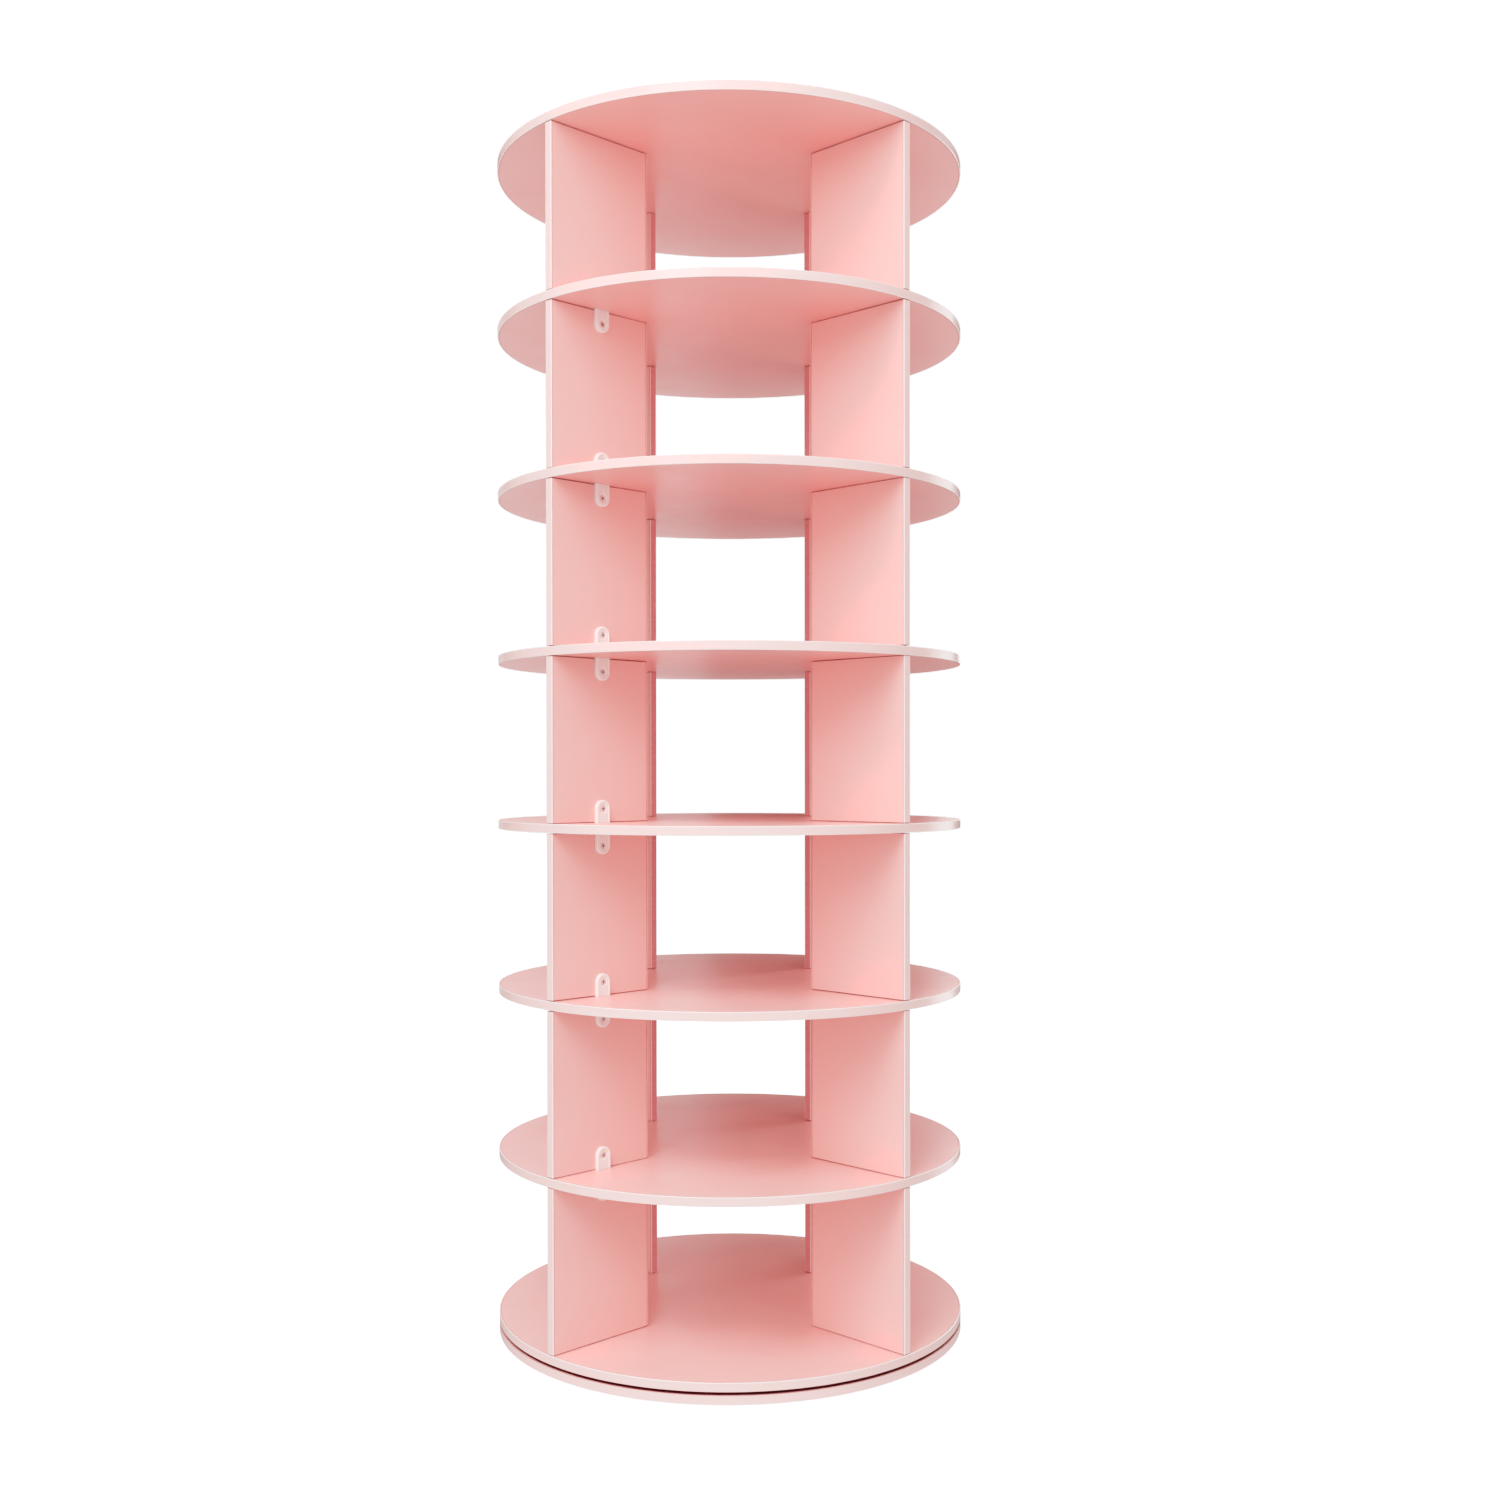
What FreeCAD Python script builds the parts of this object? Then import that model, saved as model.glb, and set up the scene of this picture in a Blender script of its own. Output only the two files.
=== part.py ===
# Rotating shoe tower: seven open tiers between round boards, turning on a hidden ball bearing.
# Millimetres, +Z up, origin on the floor under the turning axis, front towards -Y.
import FreeCAD, Part
import Sketcher
import math
import os

TIERS = 7
FIRST_PANEL_ANGLE = 45
QUARTERS = ("rear_right", "rear_left", "front_left", "front_right")
PANEL_ANGLES = tuple(FIRST_PANEL_ANGLE + 360 / len(QUARTERS) * number for number in range(len(QUARTERS)))
FEET = 6
BALLS = 24
RACE_SCREWS = 6
RACE_SCREW_STEP = 360 / RACE_SCREWS

# Each driving dimension: its name, its value and what it measures.
SIZES = (
    ("tower_radius", 250, "radius of every round board, the base board too"),
    ("board_thickness", 9, "thickness of the top board, the shelves and the turntable board"),
    ("base_thickness", 9, "thickness of the base board"),
    ("bearing_gap", 3, "open gap between the base board and the turntable board"),
    ("panel_depth", 125, "length of an upright panel along the tower's radius"),
    ("panel_height", 166, "height of an upright panel, the clear height of a tier"),
    ("panel_thickness", 9, "thickness of an upright panel"),
    ("panel_setback", 0.5, "how far a panel's outer edge stands inside the boards' rim"),
    ("plate_length", 54.5, "length of a joining plate, over its two round ends"),
    ("plate_width", 17, "width of a joining plate"),
    ("plate_thickness", 4.4, "thickness of a joining plate"),
    ("plate_edge_round", 1.2, "rounding of a joining plate's outer edge"),
    ("slot_clearance", 0.3, "free space round a joining plate in its slot in the shelf"),
    ("plate_screw_radius", 1.6, "shank radius of a joining plate's screw"),
    ("plate_screw_head_radius", 3.2, "head radius of a joining plate's screw"),
    ("plate_screw_head_depth", 1.6, "depth of the tapered head of a joining plate's screw"),
    ("plate_screw_bite", 6.4, "how deep a joining plate's screw goes into its panel"),
    ("panel_screw_radius", 2, "shank radius of a screw that goes through a board into a panel's edge"),
    ("panel_screw_head_radius", 4, "head radius of a screw into a panel's edge"),
    ("panel_screw_head_depth", 2.4, "depth of the tapered head of a screw into a panel's edge"),
    ("panel_screw_bite", 24, "how deep a screw goes into a panel's edge"),
    ("panel_screw_spacing", 64, "distance between the two screws in one panel's edge"),
    ("drill_clearance", 0.1, "free space round a screw's shank, and past its tip"),
    ("cap_radius", 6, "radius of a cover cap in the top board"),
    ("cap_thickness", 1.4, "thickness of a cover cap, flush with the top board"),
    ("cap_clearance", 0.1, "free space round a cover cap in its seat"),
    ("foot_radius", 15, "radius of a rubber foot"),
    ("foot_height", 3, "height of a rubber foot"),
    ("foot_inset", 35, "distance from the base board's rim to a foot's centre"),
    ("ball_radius", 2.5, "radius of a bearing ball"),
    ("ball_circle_radius", 95, "radius of the circle of balls"),
    ("ball_clearance", 0.05, "free space between a ball and its tracks and cage"),
    ("cage_width", 10, "radial width of the ball cage"),
    ("cage_thickness", 1.6, "thickness of the ball cage"),
    ("race_sheet", 1.2, "sheet thickness of both races"),
    ("race_track_width", 12, "radial width of the raised ball track of each race"),
    ("race_flange_width", 17, "radial width of each race's screwed flange, outside its ball track"),
    ("race_lip_width", 7.7, "radial width of the lower race's lip, inside its ball track"),
    ("race_track_gap", 2.6, "height between the two facing ball tracks"),
    ("race_running_gap", 0.3, "running clearance between the two races"),
    ("race_seat_clearance", 0.3, "free space round a race in its pocket"),
    ("hook_reach", 3.5, "how far the upper race's hub hooks under the lower race"),
    ("race_screw_offset", 8, "distance from a race's ball track to its screws' centres"),
    ("race_screw_radius", 1.6, "shank radius of a race screw"),
    ("race_screw_head_radius", 3.2, "head radius of a race screw"),
    ("race_screw_head_height", 1.5, "height of a race screw's flat head"),
    ("race_screw_bite", 4.5, "how deep a race screw goes into its board"),
    ("access_hole_radius", 5.5, "radius of the screwdriver hole through the base board and lower race"),
)

doc = FreeCAD.newDocument("rotating_shoe_tower")
sheet = doc.addObject("Spreadsheet::Sheet", "Sizes")
for row, (alias, value, meaning) in enumerate(SIZES, start=1):
    sheet.set(f"A{row}", alias)
    sheet.set(f"B{row}", str(value))
    sheet.setAlias(f"B{row}", alias)
    sheet.set(f"C{row}", meaning)
doc.recompute()

# Heights above the floor, as expressions of the sheet.
BASE_UNDERSIDE = "Sizes.foot_height"
BASE_TOP = f"{BASE_UNDERSIDE} + Sizes.base_thickness"
BALL_LEVEL = f"{BASE_TOP} + Sizes.bearing_gap / 2"
TURNTABLE_UNDERSIDE = f"{BASE_TOP} + Sizes.bearing_gap"
TURNTABLE_TOP = f"{TURNTABLE_UNDERSIDE} + Sizes.board_thickness"
TIER_PITCH = "(Sizes.panel_height + Sizes.board_thickness)"

# The races stack symmetrically about the balls: track gap, sheet, running gap, hook sheet, running gap.
RACE_HALF_STACK = "(Sizes.race_track_gap / 2 + 2 * Sizes.race_sheet + 2 * Sizes.race_running_gap)"
LOWER_SEAT = f"{BALL_LEVEL} - {RACE_HALF_STACK}"
UPPER_SEAT = f"{BALL_LEVEL} + {RACE_HALF_STACK}"
RACE_POCKET_DEPTH = f"({RACE_HALF_STACK} - Sizes.bearing_gap / 2)"

# Across the races, all from the circle of balls.
TRACK_INNER = "(Sizes.ball_circle_radius - Sizes.race_track_width / 2)"
TRACK_OUTER = "(Sizes.ball_circle_radius + Sizes.race_track_width / 2)"
RACE_OUTER = f"({TRACK_OUTER} + Sizes.race_flange_width)"
RACE_SCREW_CIRCLE = f"({TRACK_OUTER} + Sizes.race_screw_offset)"
RACE_POCKET_RADIUS = f"{RACE_OUTER} + Sizes.race_seat_clearance"
LIP_INNER = f"({TRACK_INNER} - Sizes.race_lip_width)"
HUB_OUTER = f"({LIP_INNER} - Sizes.race_running_gap)"
HUB_INNER = f"({HUB_OUTER} - Sizes.race_sheet)"

# Along a panel, from the turning axis.
PANEL_OUTER = "(Sizes.tower_radius - Sizes.panel_setback)"
PANEL_INNER = f"({PANEL_OUTER} - Sizes.panel_depth)"
PANEL_MIDDLE = f"({PANEL_OUTER} - Sizes.panel_depth / 2)"
PANEL_FACE = "Sizes.panel_thickness / 2"

# A joining plate is centred on its shelf and carries one screw at the middle of each round end.
PLATE_SCREW_RISE = "((Sizes.plate_length - Sizes.plate_width) / 2)"
PLATE_SCREW_ABOVE_BOARD = f"({PLATE_SCREW_RISE} - Sizes.board_thickness / 2)"


def tier_floor(tier):
    """Height of the surface that the panels of a tier stand on, with tier 1 the lowest."""
    return f"{TURNTABLE_TOP} + {tier - 1} * {TIER_PITCH}"


def shelf_middle(shelf):
    """Height of the middle of the shelf board that lies on a tier's panels."""
    return f"{tier_floor(shelf + 1)} - Sizes.board_thickness / 2"


def bind(thing, expressions):
    """Tie properties of a document object to expressions of the sheet."""
    for name, expression in expressions.items():
        thing.setExpression(name, expression)


def new_body(name, height="0", turn=0):
    """An empty body whose own frame is lifted to a height and turned about the tower's axis."""
    body = doc.addObject("PartDesign::Body", name)
    body.Label = name
    body.Placement = FreeCAD.Placement(FreeCAD.Vector(), FreeCAD.Rotation(FreeCAD.Vector(0, 0, 1), turn))
    bind(body, {"Placement.Base.z": height})
    return body


def origin_feature(body, role):
    """One of a body's own origin planes or axes."""
    return next(feature for feature in body.Origin.OriginFeatures if feature.Role == role)


def sketch_on(body, role):
    """An empty sketch on one of a body's origin planes."""
    sketch = body.newObject("Sketcher::SketchObject", f"{body.Name}_sketch")
    sketch.AttachmentSupport = [(origin_feature(body, role), "")]
    sketch.MapMode = "FlatFace"
    return sketch


def constrain(sketch, kind, places, expression):
    """Add one dimension to a sketch and tie it to an expression."""
    index = sketch.addConstraint(Sketcher.Constraint(kind, *places, 1.0))
    sketch.setExpression(f"Constraints[{index}]", expression)


def draw_polygon(sketch, corners):
    """A closed outline whose corners are pairs of expressions, measured from the sketch's origin."""
    count = len(corners)
    start = [
        FreeCAD.Vector(math.cos(2 * math.pi * i / count), math.sin(2 * math.pi * i / count), 0)
        for i in range(count)
    ]
    for i in range(count):
        sketch.addGeometry(Part.LineSegment(start[i], start[(i + 1) % count]), False)
    for i, (across, along) in enumerate(corners):
        sketch.addConstraint(Sketcher.Constraint("Coincident", i, 2, (i + 1) % count, 1))
        constrain(sketch, "DistanceX", (-1, 1, i, 1), across)
        constrain(sketch, "DistanceY", (-1, 1, i, 1), along)


def draw_circle(sketch, radius, across="0", along="0"):
    """A circle whose radius and centre are expressions."""
    circle = sketch.addGeometry(Part.Circle(FreeCAD.Vector(1, 1, 0), FreeCAD.Vector(0, 0, 1), 1), False)
    constrain(sketch, "Radius", (circle,), radius)
    constrain(sketch, "DistanceX", (-1, 1, circle, 3), across)
    constrain(sketch, "DistanceY", (-1, 1, circle, 3), along)


def extrude(body, kind, sketch, length, reverse=False):
    """A Pad or a Pocket of a sketch."""
    feature = body.newObject(f"PartDesign::{kind}", f"{body.Name}_{kind.lower()}")
    feature.Profile = sketch
    feature.Reversed = reverse
    bind(feature, {"Length": length})
    sketch.Visibility = False
    return feature


def revolve(body, corners):
    """A ring turned about the body's own Z axis from a profile of (radius, height) corners."""
    sketch = sketch_on(body, "XZ_Plane")
    draw_polygon(sketch, corners)
    feature = body.newObject("PartDesign::Revolution", f"{body.Name}_revolution")
    feature.Profile = sketch
    feature.ReferenceAxis = (sketch, ["V_Axis"])
    feature.Angle = 360
    return feature


def repeat_round(body, features, count):
    """Repeat features evenly round the body's own Z axis."""
    pattern = body.newObject("PartDesign::PolarPattern", f"{body.Name}_pattern")
    pattern.Originals = features
    pattern.Axis = (origin_feature(body, "Z_Axis"), [""])
    pattern.Angle = 360
    pattern.Occurrences = count
    body.Tip = pattern
    return pattern


def drill(body, radius, depth, across="0", side="0", height="0", turn=None):
    """A round hole of a radius and depth that starts at a point and runs along the body's +Z, or turned."""
    hole = body.newObject("PartDesign::SubtractiveCylinder", f"{body.Name}_hole")
    if turn:
        hole.Placement = FreeCAD.Placement(FreeCAD.Vector(), turn)
    bind(hole, {"Radius": radius, "Height": depth})
    bind(hole, {"Placement.Base.x": across, "Placement.Base.y": side, "Placement.Base.z": height})
    return hole


def countersink(body, narrow, wide, depth, across="0", side="0", height="0", turn=None):
    """A tapered hole that starts narrow at a point and widens along the body's +Z, or turned."""
    cone = body.newObject("PartDesign::SubtractiveCone", f"{body.Name}_countersink")
    if turn:
        cone.Placement = FreeCAD.Placement(FreeCAD.Vector(), turn)
    bind(cone, {"Radius1": narrow, "Radius2": wide, "Height": depth})
    bind(cone, {"Placement.Base.x": across, "Placement.Base.y": side, "Placement.Base.z": height})
    return cone


FACING_PANEL_SIDE = FreeCAD.Rotation(FreeCAD.Vector(1, 0, 0), -90)
UPSIDE_DOWN = FreeCAD.Rotation(FreeCAD.Vector(1, 0, 0), 180)
UPRIGHT = FreeCAD.Rotation()


def place_copies(name, template, places):
    """One node of separate solids: the template at each (radius, side, height, panel angle, own turn)."""
    links = []
    for number, (radius, side, height, angle, turn) in enumerate(places, start=1):
        link = doc.addObject("App::Link", f"{name}_{number}")
        link.LinkedObject = template
        spin = FreeCAD.Rotation(FreeCAD.Vector(0, 0, 1), angle)
        link.Placement = FreeCAD.Placement(FreeCAD.Vector(), spin.multiply(turn))
        bind(link, {
            "Placement.Base.x": f"({radius}) * cos({angle} deg) - ({side}) * sin({angle} deg)",
            "Placement.Base.y": f"({radius}) * sin({angle} deg) + ({side}) * cos({angle} deg)",
            "Placement.Base.z": height,
        })
        links.append(link)
    group = doc.addObject("Part::Compound", name)
    group.Label = name
    group.Links = links
    return group


# --- Base board: a round board with a pocket for the lower race and a hole to reach the race screws ---

def make_base_board():
    body = new_body("base_board", BASE_UNDERSIDE)
    outline = sketch_on(body, "XY_Plane")
    draw_circle(outline, "Sizes.tower_radius")
    extrude(body, "Pad", outline, "Sizes.base_thickness")
    pocket_floor = f"Sizes.base_thickness - {RACE_POCKET_DEPTH}"
    drill(body, RACE_POCKET_RADIUS, RACE_POCKET_DEPTH, height=pocket_floor)
    drill(body, "Sizes.access_hole_radius", pocket_floor, across=RACE_SCREW_CIRCLE)
    bite = "(Sizes.race_screw_bite + Sizes.drill_clearance)"
    pilot = drill(
        body, "Sizes.race_screw_radius + Sizes.drill_clearance", bite,
        across=f"{RACE_SCREW_CIRCLE} * cos({RACE_SCREW_STEP / 2} deg)",
        side=f"{RACE_SCREW_CIRCLE} * sin({RACE_SCREW_STEP / 2} deg)",
        height=f"{pocket_floor} - {bite}",
    )
    repeat_round(body, [pilot], RACE_SCREWS)
    return body


def make_feet():
    body = new_body("rubber_feet")
    outline = sketch_on(body, "XY_Plane")
    draw_circle(outline, "Sizes.foot_radius", across="Sizes.tower_radius - Sizes.foot_inset")
    foot = extrude(body, "Pad", outline, "Sizes.foot_height")
    repeat_round(body, [foot], FEET)
    return body


# --- Ball bearing: two pressed races, the upper one hooked under the lower, with caged balls between ---

HOOK_OUTER = f"{LIP_INNER} + Sizes.hook_reach"
HALF_TRACK_GAP = "Sizes.race_track_gap / 2"
LIP_UNDERSIDE = f"-({HALF_TRACK_GAP}) - Sizes.race_sheet"
HOOK_TOP = f"{LIP_UNDERSIDE} - Sizes.race_running_gap"
HOOK_UNDERSIDE = f"{HOOK_TOP} - Sizes.race_sheet"


def cut_ball_track(body):
    """The round groove that the balls run in, about the race's own ball level."""
    groove = body.newObject("PartDesign::SubtractiveTorus", f"{body.Name}_track")
    bind(groove, {
        "Radius1": "Sizes.ball_circle_radius",
        "Radius2": "Sizes.ball_radius + Sizes.ball_clearance",
    })


def make_lower_race():
    body = new_body("lower_race", BALL_LEVEL)
    step_inner = f"{TRACK_INNER} + Sizes.race_sheet"
    revolve(body, (
        (LIP_INNER, LIP_UNDERSIDE),
        (step_inner, LIP_UNDERSIDE),
        (step_inner, f"-{RACE_HALF_STACK}"),
        (RACE_OUTER, f"-{RACE_HALF_STACK}"),
        (RACE_OUTER, f"-{RACE_HALF_STACK} + Sizes.race_sheet"),
        (TRACK_OUTER, f"-{RACE_HALF_STACK} + Sizes.race_sheet"),
        (TRACK_OUTER, f"-({HALF_TRACK_GAP})"),
        (LIP_INNER, f"-({HALF_TRACK_GAP})"),
    ))
    cut_ball_track(body)
    flange_drill = "2 * Sizes.race_sheet"
    below = f"-{RACE_HALF_STACK} - Sizes.race_sheet / 2"
    drill(body, "Sizes.access_hole_radius", flange_drill, RACE_SCREW_CIRCLE, "0", below)
    hole = drill(
        body, "Sizes.race_screw_radius + Sizes.drill_clearance", flange_drill,
        across=f"{RACE_SCREW_CIRCLE} * cos({RACE_SCREW_STEP / 2} deg)",
        side=f"{RACE_SCREW_CIRCLE} * sin({RACE_SCREW_STEP / 2} deg)",
        height=below,
    )
    repeat_round(body, [hole], RACE_SCREWS)
    return body


def make_upper_race():
    body = new_body("upper_race", BALL_LEVEL)
    flange_underside = f"{RACE_HALF_STACK} - Sizes.race_sheet"
    revolve(body, (
        (HUB_INNER, RACE_HALF_STACK),
        (HUB_INNER, HOOK_UNDERSIDE),
        (HOOK_OUTER, HOOK_UNDERSIDE),
        (HOOK_OUTER, HOOK_TOP),
        (HUB_OUTER, HOOK_TOP),
        (HUB_OUTER, flange_underside),
        (TRACK_INNER, flange_underside),
        (TRACK_INNER, HALF_TRACK_GAP),
        (TRACK_OUTER, HALF_TRACK_GAP),
        (TRACK_OUTER, flange_underside),
        (RACE_OUTER, flange_underside),
        (RACE_OUTER, RACE_HALF_STACK),
    ))
    cut_ball_track(body)
    hole = drill(
        body, "Sizes.race_screw_radius + Sizes.drill_clearance", "2 * Sizes.race_sheet",
        across=RACE_SCREW_CIRCLE,
        height=f"{RACE_HALF_STACK} - Sizes.race_sheet * 3 / 2",
    )
    repeat_round(body, [hole], RACE_SCREWS)
    return body


def make_ball_cage():
    body = new_body("ball_cage", BALL_LEVEL)
    inner = "Sizes.ball_circle_radius - Sizes.cage_width / 2"
    outer = "Sizes.ball_circle_radius + Sizes.cage_width / 2"
    revolve(body, (
        (inner, "-Sizes.cage_thickness / 2"),
        (outer, "-Sizes.cage_thickness / 2"),
        (outer, "Sizes.cage_thickness / 2"),
        (inner, "Sizes.cage_thickness / 2"),
    ))
    hole = drill(
        body, "Sizes.ball_radius + Sizes.ball_clearance", "2 * Sizes.cage_thickness",
        across="Sizes.ball_circle_radius", height="-Sizes.cage_thickness",
    )
    repeat_round(body, [hole], BALLS)
    return body


def make_balls():
    body = new_body("bearing_balls", BALL_LEVEL)
    ball = body.newObject("PartDesign::AdditiveSphere", "ball")
    bind(ball, {"Radius": "Sizes.ball_radius", "Placement.Base.x": "Sizes.ball_circle_radius"})
    repeat_round(body, [ball], BALLS)
    return body


def make_race_screws(name, height, turn):
    """Six flat-headed screws whose heads stand on the inner face of a race's flange."""
    template = new_body(f"{name}_pattern_piece")
    revolve(template, (
        ("0", "-Sizes.race_screw_bite - Sizes.race_sheet"),
        ("Sizes.race_screw_radius", "Sizes.race_screw_radius - Sizes.race_screw_bite - Sizes.race_sheet"),
        ("Sizes.race_screw_radius", "0"),
        ("Sizes.race_screw_head_radius", "0"),
        ("Sizes.race_screw_head_radius", "Sizes.race_screw_head_height / 2"),
        ("Sizes.race_screw_head_radius * 0.7", "Sizes.race_screw_head_height"),
        ("0", "Sizes.race_screw_head_height"),
    ))
    first = 0 if turn is UPSIDE_DOWN else RACE_SCREW_STEP / 2
    return place_copies(name, template, [
        (RACE_SCREW_CIRCLE, "0", height, first + number * RACE_SCREW_STEP, turn)
        for number in range(RACE_SCREWS)
    ])


# --- Round boards that turn: turntable board, six shelves and the top board ---

def make_round_board(name, height):
    """A plain round board whose own X axis lies along a panel."""
    body = new_body(name, height, FIRST_PANEL_ANGLE)
    outline = sketch_on(body, "XY_Plane")
    draw_circle(outline, "Sizes.tower_radius")
    extrude(body, "Pad", outline, "Sizes.board_thickness")
    return body


PANEL_SCREW_PLACES = (
    f"{PANEL_MIDDLE} - Sizes.panel_screw_spacing / 2",
    f"{PANEL_MIDDLE} + Sizes.panel_screw_spacing / 2",
)
PANEL_SCREW_HOLE = "Sizes.panel_screw_radius + Sizes.drill_clearance"


def make_turntable_board():
    """The lowest turning board, with a pocket for the upper race and countersunk holes from below."""
    body = make_round_board("turntable_board", TURNTABLE_UNDERSIDE)
    drill(body, RACE_POCKET_RADIUS, RACE_POCKET_DEPTH)
    holes = []
    for place in PANEL_SCREW_PLACES:
        holes.append(drill(body, PANEL_SCREW_HOLE, "Sizes.board_thickness", across=place))
        holes.append(countersink(
            body, PANEL_SCREW_HOLE, "Sizes.panel_screw_head_radius + Sizes.drill_clearance",
            "Sizes.panel_screw_head_depth", across=place,
            height="Sizes.panel_screw_head_depth", turn=UPSIDE_DOWN,
        ))
    repeat_round(body, holes, len(QUARTERS))
    bite = "(Sizes.race_screw_bite + Sizes.drill_clearance)"
    pilot = drill(
        body, "Sizes.race_screw_radius + Sizes.drill_clearance", bite,
        across=f"{RACE_SCREW_CIRCLE} * cos({-FIRST_PANEL_ANGLE} deg)",
        side=f"{RACE_SCREW_CIRCLE} * sin({-FIRST_PANEL_ANGLE} deg)",
        height=RACE_POCKET_DEPTH,
    )
    repeat_round(body, [pilot], RACE_SCREWS)
    return body


def make_top_board():
    """The uppermost board, with screw holes whose heads lie under flush cover caps."""
    body = make_round_board("top_board", f"{tier_floor(TIERS)} + Sizes.panel_height")
    cap_seat = "(Sizes.board_thickness - Sizes.cap_thickness)"
    holes = []
    for place in PANEL_SCREW_PLACES:
        holes.append(drill(body, PANEL_SCREW_HOLE, cap_seat, across=place))
        holes.append(countersink(
            body, PANEL_SCREW_HOLE, "Sizes.panel_screw_head_radius + Sizes.drill_clearance",
            "Sizes.panel_screw_head_depth", across=place,
            height=f"{cap_seat} - Sizes.panel_screw_head_depth",
        ))
        holes.append(drill(
            body, "Sizes.cap_radius + Sizes.cap_clearance", "Sizes.cap_thickness",
            across=place, height=cap_seat,
        ))
    repeat_round(body, holes, len(QUARTERS))
    return body


def make_shelf(shelf):
    """A shelf with one slot beside each panel for the plate that joins the panels above and below."""
    body = make_round_board(f"shelf_{shelf}", f"{shelf_middle(shelf)} - Sizes.board_thickness / 2")
    half_slot = "(Sizes.plate_width / 2 + Sizes.slot_clearance)"
    near = f"{PANEL_FACE} - Sizes.slot_clearance"
    far = f"{PANEL_FACE} + Sizes.plate_thickness + Sizes.slot_clearance"
    outline = sketch_on(body, "XY_Plane")
    draw_polygon(outline, (
        (f"{PANEL_MIDDLE} - {half_slot}", near),
        (f"{PANEL_MIDDLE} + {half_slot}", near),
        (f"{PANEL_MIDDLE} + {half_slot}", far),
        (f"{PANEL_MIDDLE} - {half_slot}", far),
    ))
    slot = extrude(body, "Pocket", outline, "Sizes.board_thickness", reverse=True)
    repeat_round(body, [slot], len(QUARTERS))
    return body


# --- Upright panels: four to a tier, standing on the diagonals ---

def make_panel(tier, quarter, angle):
    """A flat board on edge, drilled for its joining plates or, at the tower's ends, for edge screws."""
    body = new_body(f"panel_tier_{tier}_{quarter}", tier_floor(tier), angle)
    outline = sketch_on(body, "XY_Plane")
    draw_polygon(outline, (
        (PANEL_INNER, f"-{PANEL_FACE}"),
        (PANEL_OUTER, f"-{PANEL_FACE}"),
        (PANEL_OUTER, PANEL_FACE),
        (PANEL_INNER, PANEL_FACE),
    ))
    extrude(body, "Pad", outline, "Sizes.panel_height")
    bite = "Sizes.plate_screw_bite + Sizes.drill_clearance"
    plate_pilot_radius = "Sizes.plate_screw_radius + Sizes.drill_clearance"
    edge_depth = "(Sizes.panel_screw_bite + Sizes.drill_clearance)"
    if tier > 1:
        drill(
            body, plate_pilot_radius, bite, across=PANEL_MIDDLE, side=f"{PANEL_FACE} - ({bite})",
            height=PLATE_SCREW_ABOVE_BOARD, turn=FACING_PANEL_SIDE,
        )
    else:
        for place in PANEL_SCREW_PLACES:
            drill(body, PANEL_SCREW_HOLE, edge_depth, across=place)
    if tier < TIERS:
        drill(
            body, plate_pilot_radius, bite, across=PANEL_MIDDLE, side=f"{PANEL_FACE} - ({bite})",
            height=f"Sizes.panel_height - {PLATE_SCREW_ABOVE_BOARD}", turn=FACING_PANEL_SIDE,
        )
    else:
        for place in PANEL_SCREW_PLACES:
            drill(body, PANEL_SCREW_HOLE, edge_depth, across=place,
                  height=f"Sizes.panel_height - {edge_depth}")
    return body


# --- Joining plates: flat moulded plates with round ends, through the shelves, two screws each ---

def make_plate_template():
    """A flat plate on a panel's face: a straight middle and two round ends, rounded on its outer face."""
    body = new_body("joining_plate_pattern_piece")
    half = "Sizes.plate_width / 2"
    middle = sketch_on(body, "XZ_Plane")
    draw_polygon(middle, (
        (f"-{half}", f"-{PLATE_SCREW_RISE}"),
        (half, f"-{PLATE_SCREW_RISE}"),
        (half, PLATE_SCREW_RISE),
        (f"-{half}", PLATE_SCREW_RISE),
    ))
    extrude(body, "Pad", middle, "Sizes.plate_thickness", reverse=True)
    ends = sketch_on(body, "XZ_Plane")
    draw_circle(ends, half, along=PLATE_SCREW_RISE)
    draw_circle(ends, half, along=f"-{PLATE_SCREW_RISE}")
    blank = extrude(body, "Pad", ends, "Sizes.plate_thickness", reverse=True)
    doc.recompute()
    faces = blank.Shape.Faces
    outermost = max(range(len(faces)), key=lambda number: faces[number].CenterOfMass.y)
    rounding = body.newObject("PartDesign::Fillet", "joining_plate_rounding")
    rounding.Base = (blank, [f"Face{outermost + 1}"])
    bind(rounding, {"Radius": "Sizes.plate_edge_round"})
    hole_radius = "Sizes.plate_screw_radius + Sizes.drill_clearance"
    head_seat = "Sizes.plate_thickness - Sizes.plate_screw_head_depth"
    for height in (PLATE_SCREW_RISE, f"-{PLATE_SCREW_RISE}"):
        drill(body, hole_radius, "Sizes.plate_thickness", height=height, turn=FACING_PANEL_SIDE)
        countersink(
            body, hole_radius, "Sizes.plate_screw_head_radius + Sizes.drill_clearance",
            "Sizes.plate_screw_head_depth", side=head_seat, height=height, turn=FACING_PANEL_SIDE,
        )
    return body


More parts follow.
